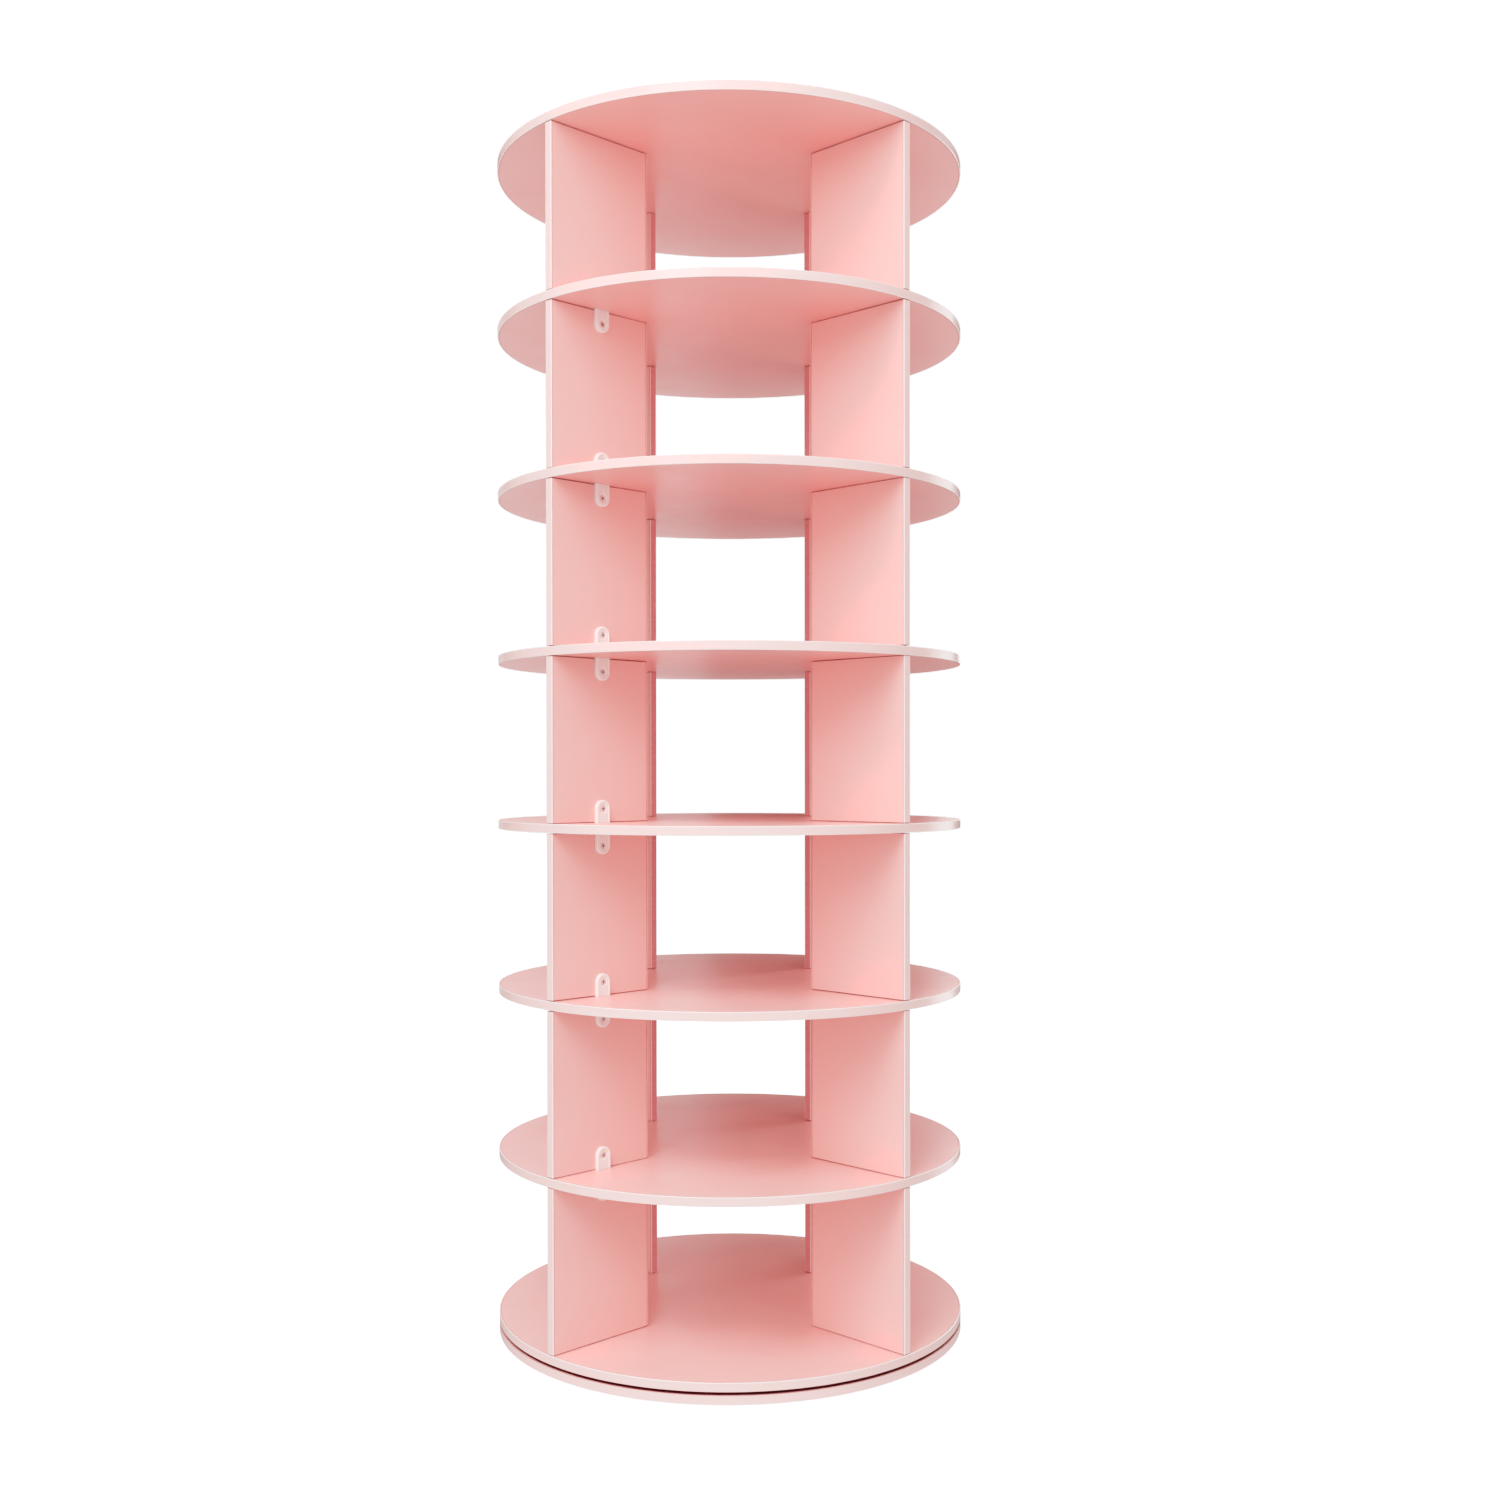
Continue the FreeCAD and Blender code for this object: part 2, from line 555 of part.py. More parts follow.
def make_countersunk_screw(name, radius, head_radius, head_depth, length):
    """A pointed screw along Z with its flat head at height 0 and a cross recess in the head."""
    body = new_body(name)
    revolve(body, (
        ("0", f"-({length})"),
        (radius, f"2 * {radius} - ({length})"),
        (radius, f"-{head_depth}"),
        (head_radius, "0"),
        ("0", "0"),
    ))
    slot_length = f"{head_radius} * 1.1"
    slot_width = f"{head_radius} * 0.3"
    slot_depth = f"{head_depth} * 0.6"
    for along_x, along_y in ((slot_length, slot_width), (slot_width, slot_length)):
        slot = body.newObject("PartDesign::SubtractiveBox", f"{name}_slot")
        bind(slot, {
            "Length": along_x, "Width": along_y, "Height": slot_depth,
            "Placement.Base.x": f"-({along_x}) / 2",
            "Placement.Base.y": f"-({along_y}) / 2",
            "Placement.Base.z": f"-({slot_depth})",
        })
    return body


def plate_side(depth="0"):
    """Distance from a panel's middle plane to a level inside its joining plate."""
    return f"{PANEL_FACE} + {depth}"


nodes = [make_base_board(), make_feet(), make_lower_race(), make_upper_race(), make_ball_cage(), make_balls()]
LOWER_FLANGE_TOP = f"{LOWER_SEAT} + Sizes.race_sheet"
UPPER_FLANGE_UNDERSIDE = f"{UPPER_SEAT} - Sizes.race_sheet"
nodes.append(make_race_screws("lower_race_screws", LOWER_FLANGE_TOP, UPRIGHT))
nodes.append(make_race_screws("upper_race_screws", UPPER_FLANGE_UNDERSIDE, UPSIDE_DOWN))

nodes.append(make_turntable_board())
nodes.append(make_top_board())
for shelf in range(1, TIERS):
    nodes.append(make_shelf(shelf))
for tier in range(1, TIERS + 1):
    for quarter, angle in zip(QUARTERS, PANEL_ANGLES):
        nodes.append(make_panel(tier, quarter, angle))

plate = make_plate_template()
for shelf in range(1, TIERS):
    nodes.append(place_copies(f"joining_plates_shelf_{shelf}", plate, [
        (PANEL_MIDDLE, plate_side(), shelf_middle(shelf), angle, UPRIGHT) for angle in PANEL_ANGLES
    ]))

plate_screw = make_countersunk_screw(
    "plate_screw_pattern_piece", "Sizes.plate_screw_radius", "Sizes.plate_screw_head_radius",
    "Sizes.plate_screw_head_depth", "Sizes.plate_thickness + Sizes.plate_screw_bite",
)
plate_screw_places = []
for shelf in range(1, TIERS):
    for rise in (f"+ {PLATE_SCREW_RISE}", f"- {PLATE_SCREW_RISE}"):
        for angle in PANEL_ANGLES:
            plate_screw_places.append((
                PANEL_MIDDLE, plate_side("Sizes.plate_thickness"),
                f"{shelf_middle(shelf)} {rise}", angle, FACING_PANEL_SIDE,
            ))
nodes.append(place_copies("plate_screws", plate_screw, plate_screw_places))

turntable_screw = make_countersunk_screw(
    "turntable_screw_pattern_piece", "Sizes.panel_screw_radius", "Sizes.panel_screw_head_radius",
    "Sizes.panel_screw_head_depth", "Sizes.board_thickness + Sizes.panel_screw_bite",
)
nodes.append(place_copies("turntable_screws", turntable_screw, [
    (place, "0", TURNTABLE_UNDERSIDE, angle, UPSIDE_DOWN)
    for angle in PANEL_ANGLES for place in PANEL_SCREW_PLACES
]))

TOP_UNDERSIDE = f"{tier_floor(TIERS)} + Sizes.panel_height"
CAP_SEAT = f"{TOP_UNDERSIDE} + Sizes.board_thickness - Sizes.cap_thickness"
top_screw = make_countersunk_screw(
    "top_screw_pattern_piece", "Sizes.panel_screw_radius", "Sizes.panel_screw_head_radius",
    "Sizes.panel_screw_head_depth",
    "Sizes.board_thickness - Sizes.cap_thickness + Sizes.panel_screw_bite",
)
nodes.append(place_copies("top_screws", top_screw, [
    (place, "0", CAP_SEAT, angle, UPRIGHT)
    for angle in PANEL_ANGLES for place in PANEL_SCREW_PLACES
]))

cap = new_body("screw_cap_pattern_piece")
cap_outline = sketch_on(cap, "XY_Plane")
draw_circle(cap_outline, "Sizes.cap_radius")
extrude(cap, "Pad", cap_outline, "Sizes.cap_thickness")
nodes.append(place_copies("screw_caps", cap, [
    (place, "0", CAP_SEAT, angle, UPRIGHT)
    for angle in PANEL_ANGLES for place in PANEL_SCREW_PLACES
]))

doc.recompute()

for thing in doc.Objects:
    if "Invalid" in thing.State or "Error" in thing.State:
        raise RuntimeError(f"{thing.Label} did not rebuild: {thing.State}")

os.makedirs("parts", exist_ok=True)
for node in nodes:
    if node.Shape.isNull() or not node.Shape.isValid():
        raise RuntimeError(f"{node.Label} has no valid solid")
    node.Shape.exportStep(os.path.join("parts", f"{node.Label}.step"))
print(f"{len(nodes)} nodes written")
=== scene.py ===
import math

import bmesh
import bpy
import numpy as np
from mathutils import Matrix, Vector


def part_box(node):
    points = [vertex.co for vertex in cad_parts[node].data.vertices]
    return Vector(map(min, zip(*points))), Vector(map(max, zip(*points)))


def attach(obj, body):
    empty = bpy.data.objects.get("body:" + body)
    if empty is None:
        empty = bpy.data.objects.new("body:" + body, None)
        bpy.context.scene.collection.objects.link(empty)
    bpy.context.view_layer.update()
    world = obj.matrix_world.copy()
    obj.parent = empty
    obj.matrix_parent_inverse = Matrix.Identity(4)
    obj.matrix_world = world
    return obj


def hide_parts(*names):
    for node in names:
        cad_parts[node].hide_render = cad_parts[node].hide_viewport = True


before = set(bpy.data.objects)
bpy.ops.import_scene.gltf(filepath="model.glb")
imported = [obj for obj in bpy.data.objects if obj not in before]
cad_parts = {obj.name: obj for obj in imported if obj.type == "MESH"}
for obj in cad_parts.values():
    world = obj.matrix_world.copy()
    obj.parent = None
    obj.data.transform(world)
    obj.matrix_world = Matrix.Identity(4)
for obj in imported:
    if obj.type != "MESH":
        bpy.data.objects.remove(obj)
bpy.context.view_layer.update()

# --- Camera ---
# It stands 1.8 m in front of the turning axis at the height of the fourth tier, and looks almost level.
# A 39 mm lens with a small upward shift keeps the panels upright in the frame.

SENSOR_WIDTH = 36.0
IMAGE_SIDE = 1500
FOCAL_LENGTH_PIXELS = 1629.06
AXIS_BELOW_IMAGE_CENTRE = 33.0
CAMERA_PLACE = (0.0152, -1.7814, 0.6001)
CAMERA_YAW = math.radians(-0.218)
CAMERA_PITCH = math.radians(-0.391)
CAMERA_ROLL = math.radians(-0.065)

camera_data = bpy.data.cameras.new("camera")
camera_data.sensor_width = SENSOR_WIDTH
camera_data.lens = FOCAL_LENGTH_PIXELS / IMAGE_SIDE * SENSOR_WIDTH
camera_data.shift_y = AXIS_BELOW_IMAGE_CENTRE / IMAGE_SIDE
camera = bpy.data.objects.new("camera", camera_data)
camera.matrix_world = (
    Matrix.Translation(CAMERA_PLACE)
    @ Matrix.Rotation(CAMERA_YAW, 4, "Z")
    @ Matrix.Rotation(math.pi / 2 + CAMERA_PITCH, 4, "X")
    @ Matrix.Rotation(CAMERA_ROLL, 4, "Z")
)
bpy.context.scene.collection.objects.link(camera)
bpy.context.scene.camera = camera

# --- Exposure, surround and lamps ---
# A white backdrop, six soft lamps that aren't seen themselves, and a glow from the upper front and from
# below. The brightest tones are eased towards white along a soft shoulder, as a studio print shows them.

WHITE_LEVEL = 2.0
BACKDROP_MARGIN = 1.06  # a little past white, so that no part of the backdrop falls short of it
ALL_CHANNELS = 3
TONE_SHOULDER = (
    (0.20, 0.200), (0.35, 0.337), (0.50, 0.450), (0.70, 0.572), (0.90, 0.667),
    (1.10, 0.740), (1.30, 0.798), (1.50, 0.843), (1.70, 0.877), (1.85, 0.899),
)
SURROUND_GLOW = {(0, -0.7071, 0.7071): 2.04, (0, 0, -1): 1.64}  # strength of the glow by direction
TOWER_MIDDLE = (0, 0, 0.62)

view = bpy.context.scene.view_settings
view.view_transform = "Standard"
view.use_curve_mapping = True
view.curve_mapping.white_level = (WHITE_LEVEL, WHITE_LEVEL, WHITE_LEVEL)
for scene_value, shown_value in TONE_SHOULDER:
    view.curve_mapping.curves[ALL_CHANNELS].points.new(scene_value / WHITE_LEVEL, shown_value)
view.curve_mapping.update()

surround = bpy.data.worlds.new("studio_surround")
surround.use_nodes = True
surround_tree = surround.node_tree


def add_values(tree, values):
    """The sum of several value sockets."""
    total = values[0]
    for value in values[1:]:
        add = tree.nodes.new("ShaderNodeMath")
        tree.links.new(total, add.inputs[0])
        tree.links.new(value, add.inputs[1])
        total = add.outputs[0]
    return total


def glow_towards(direction, strength):
    """Brightness that falls from one direction with the cosine, to nothing at right angles to it."""
    dot = surround_tree.nodes.new("ShaderNodeVectorMath")
    dot.operation = "DOT_PRODUCT"
    dot.inputs[1].default_value = direction
    way = surround_tree.nodes.new("ShaderNodeTexCoord").outputs["Generated"]
    surround_tree.links.new(way, dot.inputs[0])
    scale = surround_tree.nodes.new("ShaderNodeMath")
    scale.operation = "MULTIPLY"
    scale.inputs[1].default_value = strength
    surround_tree.links.new(dot.outputs["Value"], scale.inputs[0])
    positive = surround_tree.nodes.new("ShaderNodeMath")
    positive.operation = "MAXIMUM"
    positive.inputs[1].default_value = 0.0
    surround_tree.links.new(scale.outputs[0], positive.inputs[0])
    return positive.outputs[0]


dim_surround = surround_tree.nodes["Background"]
dim_surround.inputs["Color"].default_value = (1, 1, 1, 1)
glow = add_values(
    surround_tree,
    [glow_towards(direction, strength) for direction, strength in SURROUND_GLOW.items()],
)
surround_tree.links.new(glow, dim_surround.inputs["Strength"])
white_backdrop = surround_tree.nodes.new("ShaderNodeBackground")
white_backdrop.inputs["Color"].default_value = (1, 1, 1, 1)
white_backdrop.inputs["Strength"].default_value = BACKDROP_MARGIN * WHITE_LEVEL
choose = surround_tree.nodes.new("ShaderNodeMixShader")
seen_directly = surround_tree.nodes.new("ShaderNodeLightPath").outputs["Is Camera Ray"]
surround_tree.links.new(seen_directly, choose.inputs[0])
surround_tree.links.new(dim_surround.outputs[0], choose.inputs[1])
surround_tree.links.new(white_backdrop.outputs[0], choose.inputs[2])
surround_tree.links.new(choose.outputs[0], surround_tree.nodes["World Output"].inputs["Surface"])
bpy.context.scene.world = surround


def soft_lamp(name, place, target, width, height, watts):
    """An oblong area lamp that stands at a place, shines towards a target and isn't seen itself."""
    data = bpy.data.lights.new(name, "AREA")
    data.shape = "RECTANGLE"
    data.size = width
    data.size_y = height
    data.energy = watts
    lamp = bpy.data.objects.new(name, data)
    lamp.location = place
    lamp.visible_camera = False
    lamp.rotation_mode = "QUATERNION"
    lamp.rotation_quaternion = (Vector(target) - Vector(place)).to_track_quat("-Z", "Y")
    bpy.context.scene.collection.objects.link(lamp)


soft_lamp("key_lamp", (-1.509, -2.838, 4.430), TOWER_MIDDLE, 2.0, 2.0, 140.0)
soft_lamp("right_lamp", (1.990, 1.342, 0.8), TOWER_MIDDLE, 1.1, 2.4, 40.0)
soft_lamp("left_lamp", (-2.078, -1.2, 0.8), TOWER_MIDDLE, 1.1, 2.4, 7.5)
soft_lamp("rear_left_lamp", (-0.818, 2.247, 1.009), TOWER_MIDDLE, 1.6, 2.0, 8.6)
soft_lamp("rear_right_lamp", (0.85, 2.3, 0.90), TOWER_MIDDLE, 0.7, 0.45, 3.9)
soft_lamp("upper_left_lamp", (-0.6, -1.7, 1.7), TOWER_MIDDLE, 0.8, 0.8, 17.0)

# --- Floor ---
# A wide round floor of pale matt board, level with the soles of the feet. It looks plain white, and the
# light that it gives off doesn't reach the tower.

FLOOR_RING_RADII = (0, 0.4, 2, 14.0)
FLOOR_STEPS = 96
FLOOR_SHINE = 1.95


def grid_faces(rows, columns):
    """Corner numbers of the quads between neighbouring rows of a grid whose last column meets its first."""
    across = np.arange(columns)
    row = np.arange(rows - 1)[:, None] * columns
    beside = (across + 1) % columns
    return np.stack(
        [row + across, row + beside, row + columns + beside, row + columns + across], axis=-1
    ).reshape(-1, 4)


def spun(profile, steps):
    """A profile of (radius, height) pairs turned once about Z: a grid with a row of points to each pair."""
    profile = np.asarray(profile, float)
    turn = np.linspace(0, 2 * np.pi, steps, endpoint=False)
    return np.stack([
        profile[:, :1] * np.cos(turn),
        profile[:, :1] * np.sin(turn),
        np.repeat(profile[:, 1:], steps, axis=1),
    ], axis=-1)


floor_material = bpy.data.materials.new("pale_floor")
floor_material.use_nodes = True
floor_shader = floor_material.node_tree.nodes["Principled BSDF"]
floor_shader.inputs["Base Color"].default_value = (0.40, 0.40, 0.40, 1)
floor_shader.inputs["Roughness"].default_value = 0.8
floor_shader.inputs["Emission Color"].default_value = (1, 1, 1, 1)
floor_shader.inputs["Emission Strength"].default_value = FLOOR_SHINE
floor_rings = spun([(radius, 0) for radius in FLOOR_RING_RADII], FLOOR_STEPS)
floor_faces = grid_faces(len(FLOOR_RING_RADII), FLOOR_STEPS)[:, ::-1]
floor_mesh = bpy.data.meshes.new("floor")
floor_mesh.from_pydata(floor_rings.reshape(-1, 3).tolist(), [], floor_faces.tolist())
floor_mesh.materials.append(floor_material)
floor = bpy.data.objects.new("floor", floor_mesh)
floor.visible_diffuse = False
floor.visible_glossy = False
bpy.context.scene.collection.objects.link(floor)

# --- Round boards ---
# Nine round boards of chipboard, faced with pink melamine and edged with a paler pink plastic band.
# The band is glued on, trimmed flush and eased, which leaves a fine scraped seam on both faces. The eased
# edges are paler, as scraped plastic and as painted highlight, and round the bearing's gap the faces and
# edges are darkened as painted shade.

BOARD_RADIUS = 0.250
BAND_THICKNESS = 0.0012
BOARD_EASE = 0.0006
SEAM_WIDTH = 0.0007
SEAM_DEPTH = 0.00010
ROUND_STEPS = 5
BOARD_SPIN_STEPS = 288
GAP_EASE = 0.00012  # the rim's edge over the bearing's gap, which is left nearly square
CREASE_DEGREES = 34
MERGE_DISTANCE = 1e-7
NOISE_LOW, NOISE_HIGH = 0.3, 0.7  # a noise texture mostly stays between these two
# Finishes by number. The eased edges' finish is paler as scraped plastic and painted highlight; the dark
# finish round the bearing's gap is painted shade; the glue line and the sawn edge also serve as painted
# shade; the panels' inner ends are a deeper rose than the outer band.
LAMINATE, BAND, GLUE_AND_GAP_SHADE, DEEPER_INNER_END, GAP_SHADE_FINISH, ARRIS_AND_HIGHLIGHT, SAWN_AND_SHADED_EDGE = range(7)


def shade_crisply(mesh):
    """Smooth shading, broken at creases and where two finishes meet, so that flats stay flat."""
    mesh.shade_smooth()
    mesh.set_sharp_from_angle(angle=math.radians(CREASE_DEGREES))
    finish, corners = np.zeros((2, len(mesh.polygons)), np.int32)
    edge = np.zeros(len(mesh.loops), np.int32)
    sharp = np.zeros(len(mesh.edges), bool)
    mesh.polygons.foreach_get("material_index", finish)
    mesh.polygons.foreach_get("loop_total", corners)
    mesh.loops.foreach_get("edge_index", edge)
    mesh.edges.foreach_get("use_edge_sharp", sharp)
    lowest, highest = np.full(len(sharp), len(corners)), np.full(len(sharp), -1)
    np.minimum.at(lowest, edge, np.repeat(finish, corners))
    np.maximum.at(highest, edge, np.repeat(finish, corners))
    mesh.edges.foreach_set("use_edge_sharp", sharp | (lowest != highest))


def solid_mesh(name, points, faces, finish_of_face=None):
    """A closed mesh with merged seams and poles, outward faces and crisp shading."""
    mesh = bpy.data.meshes.new(name)
    points = np.asarray(points, float).reshape(-1, 3).tolist()
    mesh.from_pydata(points, [], [list(map(int, face)) for face in faces])
    if finish_of_face is not None:
        mesh.polygons.foreach_set("material_index", np.asarray(finish_of_face, np.int32))
    shell = bmesh.new()
    shell.from_mesh(mesh)
    bmesh.ops.remove_doubles(shell, verts=shell.verts, dist=MERGE_DISTANCE)
    bmesh.ops.dissolve_degenerate(shell, edges=shell.edges, dist=MERGE_DISTANCE)
    bmesh.ops.recalc_face_normals(shell, faces=shell.faces)
    shell.to_mesh(mesh)
    shell.free()
    shade_crisply(mesh)
    return mesh


def new_piece(name, mesh, materials, body, node):
    """An object for a finished mesh, which rides on its body in the place of the node it stands for."""
    piece = bpy.data.objects.new(name, mesh)
    bpy.context.scene.collection.objects.link(piece)
    for material in materials:
        mesh.materials.append(material)
    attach(piece, body)
    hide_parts(node)


def material_with_shader(name):
    """A new node material: its node tree, its shader and the object's own coordinates."""
    material = bpy.data.materials.new(name)
    material.use_nodes = True
    tree = material.node_tree
    place = tree.nodes.new("ShaderNodeTexCoord").outputs["Object"]
    return material, tree, tree.nodes["Principled BSDF"], place


def noise(tree, place, scale, detail, stretch=(1, 1, 1)):
    """Noise from 0 to 1 with so many features per metre, stretched along the axes."""
    mapping = tree.nodes.new("ShaderNodeMapping")
    mapping.inputs["Scale"].default_value = stretch
    tree.links.new(place, mapping.inputs["Vector"])
    texture = tree.nodes.new("ShaderNodeTexNoise")
    texture.inputs["Scale"].default_value = scale
    texture.inputs["Detail"].default_value = detail
    tree.links.new(mapping.outputs["Vector"], texture.inputs["Vector"])
    return texture.outputs["Fac"]


def between(tree, value, low, high):
    """A noise value spread over a range, such as roughness."""
    spread = tree.nodes.new("ShaderNodeMapRange")
    spread.inputs["From Min"].default_value = NOISE_LOW
    spread.inputs["From Max"].default_value = NOISE_HIGH
    spread.inputs["To Min"].default_value = low
    spread.inputs["To Max"].default_value = high
    tree.links.new(value, spread.inputs["Value"])
    return spread.outputs["Result"]


def blend_colours(tree, share, first, second):
    """A colour that runs from the first to the second as a noise value, the share, grows."""
    mix = tree.nodes.new("ShaderNodeMix")
    mix.data_type = "RGBA"
    tree.links.new(between(tree, share, 0.0, 1.0), mix.inputs["Factor"])
    colour_sockets = [socket for socket in mix.inputs if socket.type == "RGBA"]
    for socket, colour in zip(colour_sockets, (first, second)):
        socket.default_value = (*colour, 1)
    return [socket for socket in mix.outputs if socket.type == "RGBA"][0]


def roughen(tree, shader, height, distance):
    """Bump the shader's surface by a height pattern of so many metres."""
    bump = tree.nodes.new("ShaderNodeBump")
    bump.inputs["Distance"].default_value = distance
    bump.inputs["Strength"].default_value = 1.0
    tree.links.new(height, bump.inputs["Height"])
    tree.links.new(bump.outputs["Normal"], shader.inputs["Normal"])


def make_pink_laminate():
    """Satin melamine: a faintly clouded pink skin, very slightly wavy and duller in patches."""
    material, tree, shader, place = material_with_shader("pink_laminate")
    clouds = noise(tree, place, 9, 3)
    colour = blend_colours(tree, clouds, (0.975, 0.425, 0.395), (0.990, 0.450, 0.420))
    tree.links.new(colour, shader.inputs["Base Color"])
    tree.links.new(between(tree, noise(tree, place, 28, 3), 0.285, 0.37), shader.inputs["Roughness"])
    roughen(tree, shader, noise(tree, place, 60, 2), 0.00002)
    return material


def make_edge_band(name, light, dark):
    """Plastic edging, glossier than the faces, with faint drawn lines along it."""
    material, tree, shader, place = material_with_shader(name)
    lines = noise(tree, place, 14, 2, (1, 1, 30))
    tree.links.new(blend_colours(tree, lines, dark, light), shader.inputs["Base Color"])
    tree.links.new(between(tree, noise(tree, place, 30, 2), 0.20, 0.26), shader.inputs["Roughness"])
    roughen(tree, shader, lines, 0.000006)
    return material


def make_glue_and_gap_shade():
    """Glue and board fibre in the seams, a dull deeper rose; beside the bearing's gap it is painted shade.
    """
    material, tree, shader, place = material_with_shader("glue_line_and_painted_shade")
    mottle = noise(tree, place, 120, 2)
    colour = blend_colours(tree, mottle, (0.62, 0.20, 0.19), (0.74, 0.28, 0.26))
    tree.links.new(colour, shader.inputs["Base Color"])
    shader.inputs["Roughness"].default_value = 0.7
    return material


def make_dark_gap_paint():
    """Painted shade on the two faces round the bearing's gap: a dull dark red-brown, faintly mottled."""
    material, tree, shader, place = material_with_shader("painted_gap_shade")
    shade_mottle = noise(tree, place, 60, 3, (1, 6, 1))
    colour = blend_colours(tree, shade_mottle, (0.15, 0.012, 0.016), (0.21, 0.020, 0.025))
    tree.links.new(colour, shader.inputs["Base Color"])
    shader.inputs["Roughness"].default_value = 0.75
    shader.inputs["Specular IOR Level"].default_value = 0.1
    roughen(tree, shader, shade_mottle, 0.00001)
    return material


def make_sawn_and_shaded_edge():
    """Sawn chipboard edge, dark rose and paler where the facing is whole, darkened more as painted shade.
    """
    material, tree, shader, place = material_with_shader("sawn_edge_and_painted_shade")
    patchy_darkening = noise(tree, place, 26, 2, (1, 1, 0.2))
    colour = blend_colours(tree, patchy_darkening, (0.20, 0.040, 0.040), (0.60, 0.20, 0.19))
    tree.links.new(colour, shader.inputs["Base Color"])
    shader.inputs["Roughness"].default_value = 0.8
    return material


pink_laminate = make_pink_laminate()
pink_band = make_edge_band("pink_edge_band", (0.955, 0.580, 0.550), (0.935, 0.555, 0.525))
# The panels' inner ends: a deeper rose than the outer band.
deeper_rose_end = make_edge_band("deeper_rose_inner_end", (0.800, 0.300, 0.310), (0.760, 0.270, 0.280))
# The eased edges: paler, as scraped plastic and as a painted highlight.
scraped_arris_and_highlight = make_edge_band("scraped_arris_and_highlight", (0.985, 0.820, 0.790), (0.970, 0.740, 0.705))
board_finishes = (
    pink_laminate, pink_band, make_glue_and_gap_shade(), deeper_rose_end, make_dark_gap_paint(), scraped_arris_and_highlight,
    make_sawn_and_shaded_edge(),
)


def quarter_round(centre, radius, first_degrees):
    """Points on a quarter circle in the profile plane, turning clockwise from a first direction."""
    angle = np.radians(first_degrees) - np.linspace(0, np.pi / 2, ROUND_STEPS)
    return [(centre[0] + radius * math.cos(a), centre[1] + radius * math.sin(a)) for a in angle]


def board_profile(low, high, pocket=None):
    """Half the section of a round board, from its top's middle round the rim to its underside's middle.

    Each face has the seam's shallow V at the band, and the rim's two edges are quarter circles, paler as
    scraped plastic and as painted highlight. pocket is (radius, depth, face): a round recess in the middle
    of one face, 1 for the top and -1 for the underside. That face has a dark red-brown finish that is
    painted shade of the bearing's gap, its band's strip and eased edge are darkened as painted shade too,
    and on top that edge is nearly square.
    Returns the points, and the finish of the strip that follows each point.
    """
    seam = BOARD_RADIUS - BAND_THICKNESS
    middle_top = [(0, high)]
    middle_under = [(0, low)]
    face_finish = {1: LAMINATE, -1: LAMINATE}
    band_finish = {1: BAND, -1: BAND}
    ease = {1: BOARD_EASE, -1: BOARD_EASE}
    # The eased edges are paler: scraped plastic and painted highlight.
    eased_finish = {1: ARRIS_AND_HIGHLIGHT, -1: ARRIS_AND_HIGHLIGHT}
    if pocket:
        radius, depth, face = pocket
        step = [(0, 0), (radius, 0), (radius, depth)]
        # The pocket's face, the band's strip beside it and its eased edge are painted shade of the
        # bearing's gap.
        face_finish[face] = GAP_SHADE_FINISH
        band_finish[face] = GLUE_AND_GAP_SHADE
        eased_finish[face] = SAWN_AND_SHADED_EDGE
        if face > 0:
            middle_top = [(r, high - depth + z) for r, z in step]
            ease[face] = GAP_EASE
        else:
            middle_under = [(r, low + depth - z) for r, z in reversed(step)]
    across = (SEAM_WIDTH, SEAM_WIDTH / 2, 0)
    into = (0, SEAM_DEPTH, 0)
    top_seam = [(seam - a, high - d) for a, d in zip(across, into)]
    under_seam = [(seam - a, low + d) for a, d in zip(across[::-1], into)]
    rim = quarter_round((BOARD_RADIUS - ease[1], high - ease[1]), ease[1], 90)
    rim += quarter_round((BOARD_RADIUS - ease[-1], low + ease[-1]), ease[-1], 0)
    finishes = [face_finish[1]] * len(middle_top) + [GLUE_AND_GAP_SHADE] * 2
    finishes += [band_finish[1]] + [eased_finish[1]] * (ROUND_STEPS - 1) + [BAND]
    finishes += [eased_finish[-1]] * (ROUND_STEPS - 1) + [band_finish[-1]]
    finishes += [GLUE_AND_GAP_SHADE] * 2 + [face_finish[-1]] * len(middle_under)
    return middle_top + top_seam + rim + under_seam + middle_under, finishes


def cut_out(mesh, cutter_points, cutter_faces):
    """Take a closed cutter away from a mesh, and shade the result as solid_mesh does."""
    cutter = bpy.data.objects.new("cutter", solid_mesh("cutter", cutter_points, cutter_faces))
    blank = bpy.data.objects.new("blank", mesh)
    for thing in (cutter, blank):
        bpy.context.scene.collection.objects.link(thing)
    boolean = blank.modifiers.new("cut", "BOOLEAN")
    boolean.operation = "DIFFERENCE"
    boolean.solver = "EXACT"
    boolean.object = cutter
    bpy.context.view_layer.update()
    result = bpy.data.meshes.new_from_object(blank.evaluated_get(bpy.context.evaluated_depsgraph_get()))
    finishes = np.zeros(len(result.polygons), np.int32)
    result.polygons.foreach_get("material_index", finishes)
    result.materials.clear()
    result.polygons.foreach_set("material_index", finishes)
    for thing in (cutter, blank):
        bpy.data.objects.remove(thing)
    shade_crisply(result)
    return result


def joined(parts):
    """Points and faces of several (points, faces) shapes as one."""
    points, faces, count = [], [], 0
    for part_points, part_faces in parts:
        part_points = np.asarray(part_points, float).reshape(-1, 3)
        points.append(part_points)
        faces += [[count + int(i) for i in f] for f in part_faces]
        count += len(part_points)
    return np.concatenate(points), faces


def turned(points, degrees):
    """Points turned about the tower's axis."""
    a = math.radians(degrees)
    turn = np.array([[math.cos(a), math.sin(a), 0], [-math.sin(a), math.cos(a), 0], [0, 0, 1]])
    return np.asarray(points, float).reshape(-1, 3) @ turn


